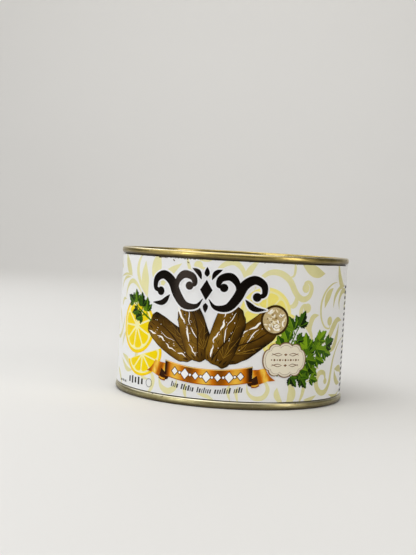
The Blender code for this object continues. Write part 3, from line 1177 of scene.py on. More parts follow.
def ornament_shapes(grow):
    """A bold ornament, the same on both sides of its middle: a lozenge between running scrolls.

    Each outline comes with its level; grown, the shapes have round ends.
    """
    right = []
    for thick, peak, ball, places in ORNAMENT_HALF:
        neck = 0.4 * thick if ball else 0.0
        path = smooth(places, 12)
        line = up_to_ball(path, ball)
        right.append(band(line, swelling(thick + grow, 0.1 + grow, neck + grow, peak)))
        if ball:
            right.append(ring(path[-1], ball + grow, 30))
        if grow:
            right.append(ring(path[0], 0.1 + grow, 14))
        if grow and not ball:
            right.append(ring(path[-1], grow, 14))
    shapes = [(lozenge(ORNAMENT_MIDDLE, 2.6 + 1.2 * grow, 4.2 + 1.4 * grow), 0)]
    for start, heading in ((5.3j, 90), (-5.2j, -90)):
        drop = curl(ORNAMENT_MIDDLE + start, heading, 4.1, 0, 0, 12)
        shapes.append((band(drop, swelling(1.1 + grow, grow, grow, 0.35)), 1))
        if grow:
            shapes.append((ring(drop[-1], grow, 14), 2))
    for k, shape in enumerate(right):
        shapes.append(([ORNAMENT_MIDDLE + point for point in shape], k + 3))
        shapes.append(([ORNAMENT_MIDDLE - point.conjugate() for point in reversed(shape)], k + 3))
    return shapes


class TIN_OT_ornament(bpy.types.Operator):
    """Prints the bold scroll ornament and the pale edge round it."""

    bl_idname = "tin.ornament"
    bl_label = "Bold ornament"

    def execute(self, context):
        colours = context.scene.tin_colours
        halo = PrintedSheet(HALO_BASE)
        for outline, level in ornament_shapes(HALO_REACH):
            halo.lay(outline, 0.5, 0.6 * level)
        stops = ((0.0, scaled(colours.halo, 0.92)), (1.0, colours.halo))
        halo.piece(context, "print_ornament_edge", ink_material("pale_edge_ink", stops, 0.25, 200.0))

        bold = PrintedSheet(ORNAMENT_BASE)
        for outline, level in ornament_shapes(0.0):
            bold.lay(outline, 0.3, level)
        stops = ((0.0, colours.black), (1.0, scaled(colours.black, 2.5)))
        black = ink_material("bold_black_ink", stops, 0.3, 160.0, 0.15)
        shader = black.node_tree.nodes["Principled BSDF"]
        shader.inputs["Specular IOR Level"].default_value = BRONZE_GLOSS
        shader.inputs["Specular Tint"].default_value = (*BRONZE_TINT, 1.0)
        bold.piece(context, "print_ornament", black)
        return {"FINISHED"}


# Printed picture: stuffed leaf rolls with lemon slices and herbs


def from_centre(centre, turn, rule):
    """A tone rule for a shape's own coordinates, as one for the sheet's."""
    spin = cmath.rect(1, math.radians(-turn))
    return lambda point: rule((point - centre) * spin)


def roll_outline(half, deep, lump, steps=72):
    """Outline of a plump roll that lies along u, a little lumpy, with blunt ends."""
    points = []
    for i in range(steps):
        angle = 2 * math.pi * i / steps
        along = math.copysign(abs(math.cos(angle)) ** 0.5, math.cos(angle)) * half
        across = math.copysign(abs(math.sin(angle)) ** 0.75, math.sin(angle)) * deep
        swell = 1 + 0.04 * math.sin(2 * angle + lump) + 0.03 * math.sin(5 * angle + 2 * lump)
        points.append(complex(along, across) * (swell + 0.012 * math.sin(13 * angle)))
    return points


def inside_roll(path, half, deep):
    """The start of a path, up to where it leaves a roll."""
    kept = []
    for point in path:
        if abs(point.real / half) ** 3 + abs(point.imag / deep) ** 2.4 > 0.86:
            break
        kept.append(point)
    return kept


def lay_roll(sheet, rng, level, centre, turn, length, width, cut=False):
    """A plump leaf roll that lies along its own axis: leaf veins, creased ends and light on its flank."""
    half = length / 2
    deep = width / 2
    lump = rng.uniform(0, 6)

    def put(points):
        return moved(points, centre, turn)

    def flank(point):
        across = point.imag / deep
        along = point.real / half
        shade = 0.36 + 0.20 * math.sin(1.5 * across + 0.2) + 0.07 * math.sin(5 * along + 3 * across + lump)
        return shade - 0.20 * abs(across) ** 5 - 0.18 * abs(along) ** 6

    def lay_vein(start, heading, reach, bend, thick):
        path = inside_roll(curl(start, heading, reach, bend, -bend, 16), half, deep)
        if len(path) > 3:
            shadow = [point - 0.22j for point in path]
            sheet.lay(put(band(shadow, swelling(1.3 * thick, 0.05, 0.03, 0.2))), 0.12, level + 2)
            sheet.lay(put(band(path, swelling(thick, 0.05, 0.02, 0.2))), rng.uniform(0.50, 0.60), level + 3)
        return path

    sheet.lay(put(roll_outline(half + 0.2, deep + 0.2, lump)), 0.0, level)
    sheet.lay(put(roll_outline(half, deep, lump)), from_centre(centre, turn, flank), level + 1)
    stalk = complex(-half * rng.uniform(0.62, 0.74), -deep * rng.uniform(0.1, 0.4))
    for k in range(5):
        heading = 19 * k - 34 + rng.uniform(-5, 5)
        main = lay_vein(stalk, heading, length * 0.72, rng.uniform(-1.2, 1.2), 0.17)
        for i in range(3, len(main) - 2, 3):
            out = math.degrees(cmath.phase(main[i + 1] - main[i]))
            side = 1 if i % 2 else -1
            lay_vein(main[i], out + side * rng.uniform(36, 58), rng.uniform(1.8, 4.2), -2.0 * side, 0.09)
    lay_creases(sheet, rng, level + 4, put, half, deep, cut)
    lay_glaze(sheet, rng, level + 5, put, half, deep)
    if cut:
        lay_cut_end(sheet, rng, level + 6, put, complex(half - 1.6, 0), deep)


def lay_creases(sheet, rng, level, put, half, deep, cut):
    """The tucked edge of the leaf along a roll, and dark folds at its ends."""
    tuck = smooth([
        (-half * 0.9, deep * 0.28),
        (-half * 0.4, deep * 0.02),
        (half * 0.1, -deep * 0.30),
        (half * 0.8, -deep * 0.42),
    ])
    sheet.lay(put(band(tuck, swelling(0.34, 0.06, 0.06))), 0.06, level)
    for side in (-1, 1):
        for k in range(0 if cut and side > 0 else 5):
            start = complex(side * (half - 0.9), deep * (-0.5 + 0.25 * k))
            heading = 90 + side * (90 - 13 * (k - 2)) + rng.uniform(-8, 8)
            crease = curl(start, heading, rng.uniform(1.8, 4.4), rng.uniform(-5, 5), rng.uniform(-6, 6), 8)
            sheet.lay(put(band(crease, swelling(rng.uniform(0.2, 0.4), 0.05, 0.02, 0.3))), 0.05, level)


def lay_glaze(sheet, rng, level, put, half, deep):
    """Broken, wavering runs of light along the upper flank of a roll, and small spots of it."""
    for height, first, last, thick in ((0.50, -0.82, 0.76, 0.42), (0.04, -0.20, 0.45, 0.20)):
        along = half * first
        while along < half * last:
            reach = rng.uniform(3.2, 8.0)
            run = []
            for i in range(6):
                place = along + reach * i / 5
                wander = 0.10 * math.sin(0.45 * place + 6 * height) + 0.050 * rng.uniform(-1, 1)
                run.append((place, deep * (height + wander)))
            width = thick * rng.uniform(0.5, 1.1)
            shine = band(smooth(run, 4), swelling(width, 0.05, 0.04, rng.uniform(0.3, 0.7)))
            sheet.lay(put(shine), 1.08, level)
            along += reach + rng.uniform(0.1, 1.0)
    for _ in range(14):
        spot = complex(rng.uniform(-0.85, 0.8) * half, rng.uniform(-0.45, 0.62) * deep)
        sheet.lay(put(ring(spot, rng.uniform(0.10, 0.28), 7, 0.6)), 1.0, level)


def lay_cut_end(sheet, rng, level, put, face, deep):
    """The cut end of a roll, with the rice of its filling."""
    sheet.lay(put(ring(face, deep, 30)), 0.10, level)
    sheet.lay(put(ring(face, deep * 0.84, 30)), 0.76, level + 1)
    for k in range(38):
        away = cmath.rect(deep * 0.72 * math.sqrt(rng.random()), rng.uniform(0, 2 * math.pi))
        grain = ring(face + away, 0.85, 10, 0.42, rng.uniform(0, 180))
        sheet.lay(put(grain), rng.uniform(0.88, 1.04), level + 2 + k % 3)
    for k in range(8):
        away = cmath.rect(deep * 0.6 * math.sqrt((k + 0.5) / 8), 2.4 * k + 0.5)
        fleck = ring(face + away, 0.42, 8, 0.5, rng.uniform(0, 180))
        sheet.lay(put(fleck), 0.36, level + 5)


class TIN_OT_rolls(bpy.types.Operator):
    """Prints a fan of stuffed leaf rolls, one of them cut."""

    bl_idname = "tin.rolls"
    bl_label = "Leaf rolls"

    def execute(self, context):
        rng = random.Random(11)
        sheet = PrintedSheet(ROLL_BASE)
        lay_roll(sheet, rng, 0, complex(-26.0, 27.0), 152, 25, 12.0)
        lay_roll(sheet, rng, 6, complex(8.5, 29.5), 38, 27, 12.5, cut=True)
        lay_roll(sheet, rng, 12, complex(-15.0, 29.9), 112, 22, 12.0)
        lay_roll(sheet, rng, 17, complex(-2.2, 29.4), 72, 24.4, 12.5)
        colours = context.scene.tin_colours
        stops = (
            (0.0, colours.roll_dark),
            (0.42, colours.roll_leaf),
            (0.66, colours.roll_light),
            (0.86, colours.rice),
            (1.0, colours.glaze),
        )
        sheet.piece(context, "print_rolls", ink_material("leaf_roll_ink", stops, 0.15, 300.0))
        return {"FINISHED"}


# Tones of a lemon slice's rind, its inner edge, its pith and its flesh
BRIGHT_LEMON = (0.0, 0.12, 0.50, 0.24)
PALE_LEMON = (0.62, 0.64, 0.98, 0.70)


def lay_lemon(sheet, rng, level, centre, radius, turn, cells, reach=360.0, squash=1.0, tones=BRIGHT_LEMON):
    """A slice of lemon, whole or a part of one, seen from its cut face."""
    rind, edge, pith, flesh = tones

    def put(points):
        return moved([complex(point.real, point.imag * squash) for point in points], centre, turn)

    def disc(size):
        if reach >= 360:
            return ring(0j, size, 44)
        return [cmath.rect(size, math.radians(reach * i / 26)) for i in range(27)]

    sheet.lay(put(disc(radius)), rind, level)
    sheet.lay(put(disc(radius * 0.965)), edge, level + 1)
    sheet.lay(put(disc(radius * 0.88)), pith, level + 2)
    cell = reach / cells
    for k in range(cells):
        first = k * cell + 2.2
        last = (k + 1) * cell - 2.2
        wedge = [cmath.rect(radius * 0.12, math.radians((first + last) / 2))]
        for i in range(9):
            share = i / 8
            size = radius * 0.81 * (1 - 0.10 * (2 * share - 1) ** 4)
            wedge.append(cmath.rect(size, math.radians(first + (last - first) * share)))
        sheet.lay(put(wedge), flesh, level + 3)
        for _ in range(5):
            angle = math.radians(rng.uniform(first + 4, last - 4))
            inner = radius * rng.uniform(0.25, 0.55)
            drop = [cmath.rect(inner + radius * 0.1 * i, angle + 0.02 * (i % 2)) for i in range(3)]
            sheet.lay(put(band(drop, swelling(radius * 0.018, 0.02, 0.02))), flesh + 0.07, level + 4)


class TIN_OT_lemons(bpy.types.Operator):
    """Prints the lemon slices, bright at the left and pale at the right."""

    bl_idname = "tin.lemons"
    bl_label = "Lemon slices"

    def execute(self, context):
        rng = random.Random(5)
        sheet = PrintedSheet(LEMON_BASE)
        lay_lemon(sheet, rng, 0, complex(14.0, 39.0), 11.0, 10, 9, tones=PALE_LEMON)
        lay_lemon(sheet, rng, 0, complex(-46.0, 30.0), 11.6, 20, 9)
        sheet.base = FRONT_LEMON_BASE
        lay_lemon(sheet, rng, 0, complex(22.0, 30.0), 10.0, 60, 5, 180.0, tones=PALE_LEMON)
        lay_lemon(sheet, rng, 0, complex(-41.0, 18.6), 11.4, 198, 5, 180.0, 0.8)
        colours = context.scene.tin_colours
        stops = (
            (0.0, colours.lemon_rind),
            (0.14, colours.lemon_flesh),
            (0.34, scaled(colours.lemon_flesh, 0.97)),
            (0.50, colours.lemon_pith),
            (0.70, colours.pale_flesh),
            (1.0, colours.pale_pith),
        )
        sheet.piece(context, "print_lemons", ink_material("lemon_ink", stops, 0.05, 500.0))
        return {"FINISHED"}


def lay_leaflet(sheet, level, base, heading, length, width, bend, tone):
    """A toothed leaflet, its two halves in different light, with a bright rib."""
    teeth = 4
    spine = curl(base, heading, length, bend, bend, 8 * teeth)
    body = swelling(width / 2, 0.05, 0.02, 0.42)

    def toothed(share):
        notch = 0.74 + 0.42 * ((share * teeth) % 1.0)
        return body(share) * (notch if 0.02 < share < 0.96 else 1.0)

    left, right = sides_of(spine, toothed)
    sheet.lay(left + spine[::-1], tone + 0.18, level)
    sheet.lay(right + spine[::-1], tone - 0.18, level)
    sheet.lay(band(spine, swelling(0.15, 0.1, 0.02)), tone + 0.34, level + 1)


def lay_sprig(sheet, rng, level, foot, heading, length, size, count, tone, bend=1.0):
    """A stem with threefold toothed leaves on both sides and one at its tip."""
    stem = curl(foot, heading, length, bend, -bend, 24)
    sheet.lay(band(stem, swelling(0.42, 0.3, 0.15, 0.2)), 0.62, level)
    for k in range(count):
        i = min(int((0.25 + 0.75 * k / (count - 1)) * 24), 23)
        along = math.degrees(cmath.phase(stem[i + 1] - stem[i]))
        side = 1 if k % 2 else -1
        angle = along + (side * rng.uniform(38, 62) if k < count - 1 else 0)
        reach = size * rng.uniform(0.85, 1.15)
        stalk = curl(stem[i], angle, reach * 0.35, 0, 0, 4)
        sheet.lay(band(stalk, swelling(0.26, 0.2, 0.15)), 0.6, level)
        shade = tone + rng.uniform(-0.20, 0.20)
        above = level + 1 + 2 * (k % 3)
        for turn, part in ((48, 0.72), (-48, 0.72), (0, 1.0)):
            lift = above if turn else above + 1
            bow = rng.uniform(-2, 2)
            light = shade + rng.uniform(-0.05, 0.05)
            lay_leaflet(sheet, lift, stalk[-1], angle + turn, reach * part, reach * part * 0.62, bow, light)


class TIN_OT_herbs(bpy.types.Operator):
    """Prints the herb sprigs, a large bunch at the right and a small one at the left."""

    bl_idname = "tin.herbs"
    bl_label = "Herb sprigs"

    def execute(self, context):
        rng = random.Random(3)
        sheet = PrintedSheet(HERB_BASE)
        lay_sprig(sheet, rng, 0, complex(20, 14), 62, 21, 6.8, 7, 0.42)
        lay_sprig(sheet, rng, 4, complex(22, 14), 20, 26, 6.6, 8, 0.50, 1.6)
        lay_sprig(sheet, rng, 8, complex(22, 16), -14, 14, 5.5, 5, 0.38)
        lay_sprig(sheet, rng, 12, complex(23, 14), 42, 22, 6.4, 6, 0.58, -1.0)
        lay_sprig(sheet, rng, 0, complex(-36.5, 33.0), 150, 13, 5.5, 6, 0.36)
        colours = context.scene.tin_colours
        stops = ((0.12, colours.herb_dark), (0.5, colours.herb_leaf), (0.95, colours.herb_light))
        sheet.piece(context, "print_herbs", ink_material("herb_ink", stops, 0.17, 420.0))
        return {"FINISHED"}


# Printed ribbon, plaque and small lines

RIBBON_MIDDLE = -9.0
RIBBON_HALF = 18.5
RIBBON_LOW = 9.2
RIBBON_HIGH = 15.7
RIBBON_SAG = 2.1
LOZENGE_STEP = 4.6

# One end of the ribbon, as distances out from its middle and heights: the tail, cut to a point, the dark
# inside of the fold, and the small turn of ribbon under it
TAIL = (
    (18.6, 16.4), (21.0, 16.6), (23.8, 17.2), (24.8, 15.4), (26.2, 13.8),
    (28.4, 12.2), (25.0, 11.9), (22.6, 11.0), (20.8, 10.2), (18.6, 11.0),
)
FOLD = ((20.4, 14.2), (18.0, 12.4), (16.6, 11.0), (17.2, 9.9), (18.8, 9.4), (21.5, 10.4))
TURN_UNDER = ((21.4, 10.5), (20.2, 9.9), (18.4, 9.7))


def on_ribbon(u, z):
    """A point of the ribbon, which hangs in a shallow arc."""
    share = (u - RIBBON_MIDDLE) / RIBBON_HALF
    return complex(u, z + RIBBON_SAG * share * share)


def along_ribbon(first, last, z):
    """Points along the ribbon at one height."""
    return [on_ribbon(first + (last - first) * i / 26, z) for i in range(27)]


def lay_ribbon_end(sheet, side):
    """One end of the ribbon: its tail, folded behind the face, and the dark inside of the fold."""

    def out(places):
        return [complex(RIBBON_MIDDLE + side * away, height) for away, height in places]

    def sheen(point):
        away = abs(point.real - RIBBON_MIDDLE) + 0.35 * (point.imag - 14)
        return 0.57 + 0.29 * math.cos(2 * math.pi * (away - 23.6) / 5.4)

    sheet.lay(out(TAIL), sheen, 0)
    sheet.lay(out(FOLD), 0.02, 1)
    bar = [complex(RIBBON_MIDDLE + side * point.real, point.imag) for point in smooth(TURN_UNDER, 5)]
    sheet.lay(band(bar, even(0.62)), 0.28, 2)
    sheet.lay(band([point + 0.15j for point in bar], swelling(0.26, 0.1, 0.1)), 0.72, 3)


class TIN_OT_ribbon(bpy.types.Operator):
    """Prints the ribbon with a row of lozenges and beads."""

    bl_idname = "tin.ribbon"
    bl_label = "Ribbon"

    def execute(self, context):
        sheet = PrintedSheet(RIBBON_BASE)
        for side in (-1, 1):
            lay_ribbon_end(sheet, side)
        left = RIBBON_MIDDLE - RIBBON_HALF
        right = RIBBON_MIDDLE + RIBBON_HALF

        def sheen(point):
            away = abs(point.real - RIBBON_MIDDLE) / RIBBON_HALF
            wave = 0.50 + 0.24 * math.sin(2 * math.pi * (point.real + 13.0) / 12.9)
            return wave - 3.4 * max(0.0, away - 0.86) + 0.015 * (12 - point.imag)

        face = along_ribbon(left, right, RIBBON_LOW) + along_ribbon(right, left, RIBBON_HIGH)
        sheet.lay(face, sheen, 4)
        for z, tone in ((RIBBON_LOW + 0.20, 0.30), (RIBBON_HIGH - 0.20, 0.84)):
            sheet.lay(band(along_ribbon(left, right, z), even(0.14)), tone, 5)
        middle = (RIBBON_LOW + RIBBON_HIGH) / 2
        for k in range(-3, 4):
            centre = on_ribbon(RIBBON_MIDDLE + LOZENGE_STEP * k, middle)
            wide, tall = (1.3, 1.5) if k % 2 else (1.8, 2.1)
            sheet.lay(lozenge(centre, wide + 0.45, tall + 0.45), 0.10, 6)
            sheet.lay(lozenge(centre, wide, tall), 1.0, 7)
            if k < 3:
                bead = on_ribbon(RIBBON_MIDDLE + LOZENGE_STEP * (k + 0.5), middle)
                sheet.lay(ring(bead, 0.80, 12), 0.10, 8)
                sheet.lay(ring(bead, 0.5, 12), 1.0, 9)
        colours = context.scene.tin_colours
        stops = (
            (0.0, colours.ribbon_dark),
            (0.22, scaled(colours.ribbon_orange, 0.30)),
            (0.5, colours.ribbon_orange),
            (0.82, colours.ribbon_gold),
            (1.0, colours.ribbon_bead),
        )
        sheet.piece(context, "print_ribbon", ink_material("ribbon_ink", stops, 0.03, 300.0, 0.24))
        return {"FINISHED"}


# The plaque: its middle, its least reach, and its round lobes, each with its place from the middle and
# its half width and half height
PLAQUE_MIDDLE = complex(23.5, 20.7)
PLAQUE_LEAST = 4.6
PLAQUE_LOBES = ((7.6, 0.0, 2.1, 4.0), (4.6, 3.9, 2.6, 2.4), (0.0, 4.5, 3.2, 2.3))


def plaque_outline(grow):
    """Outline of the plaque: the furthest reach of round lobes that are the same on all four sides."""
    points = []
    for i in range(96):
        ray = cmath.rect(1, 2 * math.pi * i / 96)
        out = complex(abs(ray.real), abs(ray.imag))
        reach = PLAQUE_LEAST
        for u, z, wide, tall in PLAQUE_LOBES:
            a = (out.real / wide) ** 2 + (out.imag / tall) ** 2
            b = out.real * u / wide**2 + out.imag * z / tall**2
            c = (u / wide) ** 2 + (z / tall) ** 2 - 1
            if b * b > a * c:
                reach = max(reach, (b + math.sqrt(b * b - a * c)) / a)
        points.append(PLAQUE_MIDDLE + ray * (reach + grow))
    return points


class TIN_OT_plaque(bpy.types.Operator):
    """Prints the small scalloped plaque with its outlines and loops."""

    bl_idname = "tin.plaque"
    bl_label = "Plaque"

    def execute(self, context):
        sheet = PrintedSheet(PLAQUE_BASE)
        sheet.lay(plaque_outline(0.45), 0.05, 0)
        sheet.lay(plaque_outline(0.0), 0.80, 1)
        sheet.lay(plaque_outline(-0.75), 0.45, 2)
        sheet.lay(plaque_outline(-0.92), 0.86, 3)
        for up in (-1, 1):
            row = PLAQUE_MIDDLE + complex(0, up * 2.2)
            for side in (-1, 1):
                sweep = smooth([(side * 1.6, 0), (side * 3.4, 0.55), (side * 5.4, 0.1), (side * 6.4, -0.3)])
                back = smooth([(side * 1.6, 0), (side * 3.4, -0.5), (side * 5.0, 0.0), (side * 6.2, 0.5)])
                for level, line in ((4, sweep), (5, back)):
                    flourish = band(line, swelling(0.15, 0.06, 0.06))
                    sheet.lay([row + point for point in flourish], 0.22, level)
            sheet.lay(lozenge(row, 0.8, 0.55), 0.25, 6)
        for k in range(-5, 6):
            bead = PLAQUE_MIDDLE + complex(1.25 * k, 0)
            sheet.lay(ring(bead, 0.30 if k % 2 else 0.46, 10), 0.3, 4)
        colours = context.scene.tin_colours
        stops = ((0.0, colours.plaque_line), (0.3, colours.plaque_line), (0.86, colours.plaque_face))
        sheet.piece(context, "print_plaque", ink_material("plaque_ink", stops, 0.03, 300.0))
        return {"FINISHED"}


# The small lines: where the bars, the open ring and the block of rows stand, and the steps between them
BARS = complex(-49.6, 7.0)
BAR_STEP = 2.3
OPEN_RING = complex(-36.0, 7.0)
RING_DASHES = 28
BLOCK_LEFT = 66.3
BLOCK_TOP = 50.5
BLOCK_STEP = 2.4
BLOCK_ROWS = 20


def lay_ticks(sheet, rng, place, length, height, tone):
    """A row of short upright ticks in groups."""
    along = 0.0
    while along < length:
        for _ in range(rng.randint(3, 8)):
            wide = height * rng.uniform(0.18, 0.46)
            tall = height * rng.choice((0.5, 0.5, 0.5, 0.82))
            corners = ((along, -0.5 * height), (along + wide, -0.5 * height))
            corners += ((along + wide, tall), (along, tall))
            sheet.lay([place(u, z) for u, z in corners], tone, 0)
            along += wide + 0.24 * height
        along += 0.62 * height


class TIN_OT_small_lines(bpy.types.Operator):
    """Prints rows of plain ticks, a few bars and an open ring."""

    bl_idname = "tin.small_lines"
    bl_label = "Small lines"

    def execute(self, context):
        rng = random.Random(8)
        sheet = PrintedSheet(SMALL_LINES_BASE)
        lay_ticks(sheet, rng, lambda u, z: on_ribbon(u - 24.2 + 0.2 * z, 6.7 + z), 30, 1.7, 0.2)
        for k in range(5):
            tall = 1.6 if k % 2 else 1.2
            bar = [BARS + complex(BAR_STEP * k, -tall), BARS + complex(BAR_STEP * k, tall)]
            sheet.lay(band(bar, even(0.55)), 0.15, 0)
        rim = ring(OPEN_RING, 1.7, RING_DASHES)
        for i in range(0, RING_DASHES, 2):
            dash = [rim[i - 1], rim[i], rim[(i + 1) % RING_DASHES]]
            sheet.lay(band(dash, even(0.11)), 0.6, i // 2 % 2)
        lay_ticks(sheet, rng, lambda u, z: complex(u - 60, 5.2 + z), 6.5, 0.8, 0.5)
        for k in range(BLOCK_ROWS):
            row = complex(BLOCK_LEFT, BLOCK_TOP - BLOCK_STEP * k)
            length = 22 if k % 5 == 4 else 36
            lay_ticks(sheet, rng, lambda u, z, row=row: row + complex(u, z), length, 1.15, 0.0)
        ink = context.scene.tin_colours.small_lines
        soft = [part + 0.16 for part in ink]
        finish = ink_material("small_lines_ink", ((0.0, ink), (1.0, soft)), 0.1, 600.0)
        sheet.piece(context, "print_small_lines", finish)
        return {"FINISHED"}


# The stretch of the top edge where stains lie close together
STAINED_FROM = -34
STAINED_TO = -14


class TIN_OT_scuffs(bpy.types.Operator):
    """Marks the label with small scuffs, and with stains that creep in from under the top seam."""

    bl_idname = "tin.scuffs"
    bl_label = "Scuffs"

    def execute(self, context):
        rng = random.Random(21)
        sheet = PrintedSheet(SCUFF_BASE)
        for u, z, turn in ((-26.1, 58.8, -40), (-19.4, 58.3, -35)):
            sheet.lay(ring(complex(u, z), 0.62, 12, 0.38, turn), 0.70)
            sheet.lay(ring(complex(u + 0.2, z - 0.15), 0.34, 9, 0.42, turn), 0.25, 1)
        along = PRINT_START + 1
        while along < SHEET_END - 1:
            near = STAINED_FROM < along < STAINED_TO
            size = rng.uniform(0.20, 0.46) if near else rng.uniform(0.08, 0.22)
            edge = LABEL_HIGH - size * rng.uniform(-0.2, 0.5)
            sheet.lay(ring(complex(along, edge), size, 9, rng.uniform(0.5, 1.0)), rng.uniform(0.0, 0.4))
            along += rng.uniform(0.5, 1.6) if near else rng.uniform(1.5, 9.0)
        colours = context.scene.tin_colours
        stops = ((0.0, colours.stain_dark), (0.5, colours.stain), (1.0, colours.stain_light))
        sheet.piece(context, "paper_scuffs", ink_material("stained_paper", stops, 0.2, 900.0, 0.5))
        return {"FINISHED"}


# Stage

CAMERA_PLACE = (0.0, -0.450, 0.0682)
CAMERA_PITCH = -0.0387
CAMERA_PAN = -0.0263
CAMERA_ROLL = 0.0563
SENSOR_WIDTH = 36.0

# The floor curves up into a backdrop well behind the tin
FLOOR_FRONT = -3.0
FLOOR_HALF_WIDTH = 4.0
BEND_START = 1.2
BEND_RADIUS = 0.6
BACKDROP_TOP = 3.0

SURROUND_COLOUR = (0.96, 0.98, 1.0, 1.0)
WHITE = (1.0, 0.99, 0.97)
COOL = (0.98, 0.99, 1.0)
WARM = (1.0, 0.95, 0.88)
TIN_MIDDLE = (0.0, 0.0, 0.035)
BACKDROP_MIDDLE = (0.0, 1.8, 0.35)

# The soft lights: the setting that holds each one's power, its place, what it faces, its width and its
# height in metres, and its colour
LIGHTS = (
    ("left_light", (-0.59, -0.55, 0.13), TIN_MIDDLE, 0.30, 0.32, COOL),
    ("wide_light", (-0.51, -0.27, 0.72), TIN_MIDDLE, 1.05, 0.75, COOL),
    ("side_light", (-0.54, 0.40, 0.56), TIN_MIDDLE, 0.70, 0.45, COOL),
    ("low_light", (-0.81, -0.18, 0.24), TIN_MIDDLE, 0.50, 0.30, COOL),
    ("right_light", (0.70, -0.42, 0.28), TIN_MIDDLE, 0.27, 0.55, WARM),
    ("backdrop_light", (0.0, 0.85, 1.30), BACKDROP_MIDDLE, 2.4, 0.5, WHITE),
    ("top_light", (0.0, -0.30, 0.95), TIN_MIDDLE, 1.2, 1.2, WHITE),
)


def soft_light(context, name, place, target, width, height, power, colour):
    """A rectangular soft light at a place, which faces a target."""
    lamp = bpy.data.lights.new(name, "AREA")
    lamp.shape = "RECTANGLE"
    lamp.size = width
    lamp.size_y = height
    lamp.energy = power
    lamp.color = colour
    light = bpy.data.objects.new(name, lamp)
    context.collection.objects.link(light)
    light.location = place
    light.rotation_euler = (Vector(target) - Vector(place)).to_track_quat("-Z", "Y").to_euler()


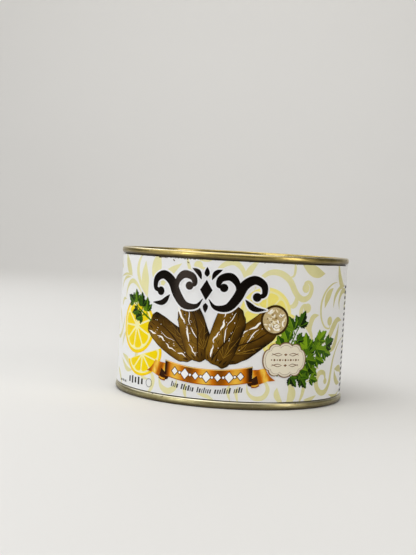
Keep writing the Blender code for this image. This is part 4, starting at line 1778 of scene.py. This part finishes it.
class TIN_OT_stage(bpy.types.Operator):
    """Sets the pale floor, the soft lights and the camera."""

    bl_idname = "tin.stage"
    bl_label = "Stage"

    def execute(self, context):
        settings = context.scene.tin_stage
        self.sweep(context, settings)
        self.light(context, settings)
        self.aim_camera(context, settings)
        return {"FINISHED"}

    def sweep(self, context, settings):
        """The floor and the backdrop, one smooth sheet."""
        bm = bmesh.new()
        bend = arc((BEND_START, BEND_RADIUS), BEND_RADIUS, -90, 0, 16)
        section = [(FLOOR_FRONT, 0.0), (BEND_START, 0.0), *bend[1:]]
        section += [(BEND_START + BEND_RADIUS, BACKDROP_TOP)]
        verts = [bm.verts.new((-FLOOR_HALF_WIDTH, y, z)) for y, z in section]
        edges = [bm.edges.new(pair) for pair in zip(verts, verts[1:])]
        wide = bmesh.ops.extrude_edge_only(bm, edges=edges)
        bmesh.ops.translate(bm, verts=verts_of(wide), vec=(2 * FLOOR_HALF_WIDTH, 0, 0))
        bmesh.ops.recalc_face_normals(bm, faces=bm.faces)
        mesh = bpy.data.meshes.new("floor_sweep")
        bm.to_mesh(mesh)
        bm.free()
        mesh.shade_smooth()
        material, tree, shader = new_material("pale_floor")
        cloud = noise_node(tree, 3.0)
        tint = mix_colours(tree, cloud, scaled(settings.floor, 0.96), settings.floor)
        rough = spread(tree, cloud, 0.2, 0.8, 0.55, 0.65)
        link_all(tree, shader, {"Base Color": tint, "Roughness": rough})
        mesh.materials.append(material)
        floor = bpy.data.objects.new("floor_sweep", mesh)
        context.collection.objects.link(floor)

    def light(self, context, settings):
        """An even surround and the soft lights."""
        world = bpy.data.worlds.new("soft_surround")
        world.use_nodes = True
        back = world.node_tree.nodes["Background"]
        back.inputs["Color"].default_value = SURROUND_COLOUR
        back.inputs["Strength"].default_value = settings.surround
        context.scene.world = world
        for name, place, target, width, height, colour in LIGHTS:
            soft_light(context, name, place, target, width, height, getattr(settings, name), colour)

    def aim_camera(self, context, settings):
        """The camera at the photograph's angle."""
        camera = bpy.data.cameras.new("camera")
        camera.lens = settings.lens
        camera.sensor_width = SENSOR_WIDTH
        camera.sensor_fit = "AUTO"
        view = bpy.data.objects.new("camera", camera)
        context.collection.objects.link(view)
        forward = Vector((
            math.sin(CAMERA_PAN) * math.cos(CAMERA_PITCH),
            math.cos(CAMERA_PAN) * math.cos(CAMERA_PITCH),
            math.sin(CAMERA_PITCH),
        ))
        level = forward.to_track_quat("-Z", "Y").to_matrix()
        right = level.col[0]
        up = level.col[1]
        turned_right = math.cos(CAMERA_ROLL) * right + math.sin(CAMERA_ROLL) * up
        turned_up = math.cos(CAMERA_ROLL) * up - math.sin(CAMERA_ROLL) * right
        level.col[0] = turned_right
        level.col[1] = turned_up
        view.matrix_world = level.to_4x4()
        view.location = CAMERA_PLACE
        context.scene.camera = view
        context.scene.view_settings.view_transform = "Standard"


class TIN_PT_panel(bpy.types.Panel):
    """Lists the steps that build the tin."""

    bl_label = "Food tin"
    bl_idname = "TIN_PT_panel"
    bl_space_type = "VIEW_3D"
    bl_region_type = "UI"
    bl_category = "Food tin"

    def draw(self, context):
        for step in OPERATORS:
            self.layout.operator(step.bl_idname)


OPERATORS = (
    TIN_OT_ends,
    TIN_OT_wall,
    TIN_OT_label,
    TIN_OT_scrolls,
    TIN_OT_ornament,
    TIN_OT_rolls,
    TIN_OT_lemons,
    TIN_OT_herbs,
    TIN_OT_ribbon,
    TIN_OT_plaque,
    TIN_OT_small_lines,
    TIN_OT_scuffs,
    TIN_OT_stage,
)
SETTINGS = ((TinSizes, "tin_sizes"), (TinColours, "tin_colours"), (StageSettings, "tin_stage"))


def register():
    """Registers the settings, the operators and the panel."""
    for group, name in SETTINGS:
        bpy.utils.register_class(group)
        setattr(bpy.types.Scene, name, bpy.props.PointerProperty(type=group))
    for step in (*OPERATORS, TIN_PT_panel):
        bpy.utils.register_class(step)


def unregister():
    """Removes what register added."""
    for step in (TIN_PT_panel, *reversed(OPERATORS)):
        bpy.utils.unregister_class(step)
    for group, name in reversed(SETTINGS):
        delattr(bpy.types.Scene, name)
        bpy.utils.unregister_class(group)


def main():
    register()
    paper_grain_group()
    drawn_metal_group()
    bpy.ops.tin.ends()
    bpy.ops.tin.wall()
    bpy.ops.tin.label()
    bpy.ops.tin.scrolls()
    bpy.ops.tin.ornament()
    bpy.ops.tin.rolls()
    bpy.ops.tin.lemons()
    bpy.ops.tin.herbs()
    bpy.ops.tin.ribbon()
    bpy.ops.tin.plaque()
    bpy.ops.tin.small_lines()
    bpy.ops.tin.scuffs()
    bpy.ops.tin.stage()
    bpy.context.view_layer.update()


if __name__ == "__main__":
    main()
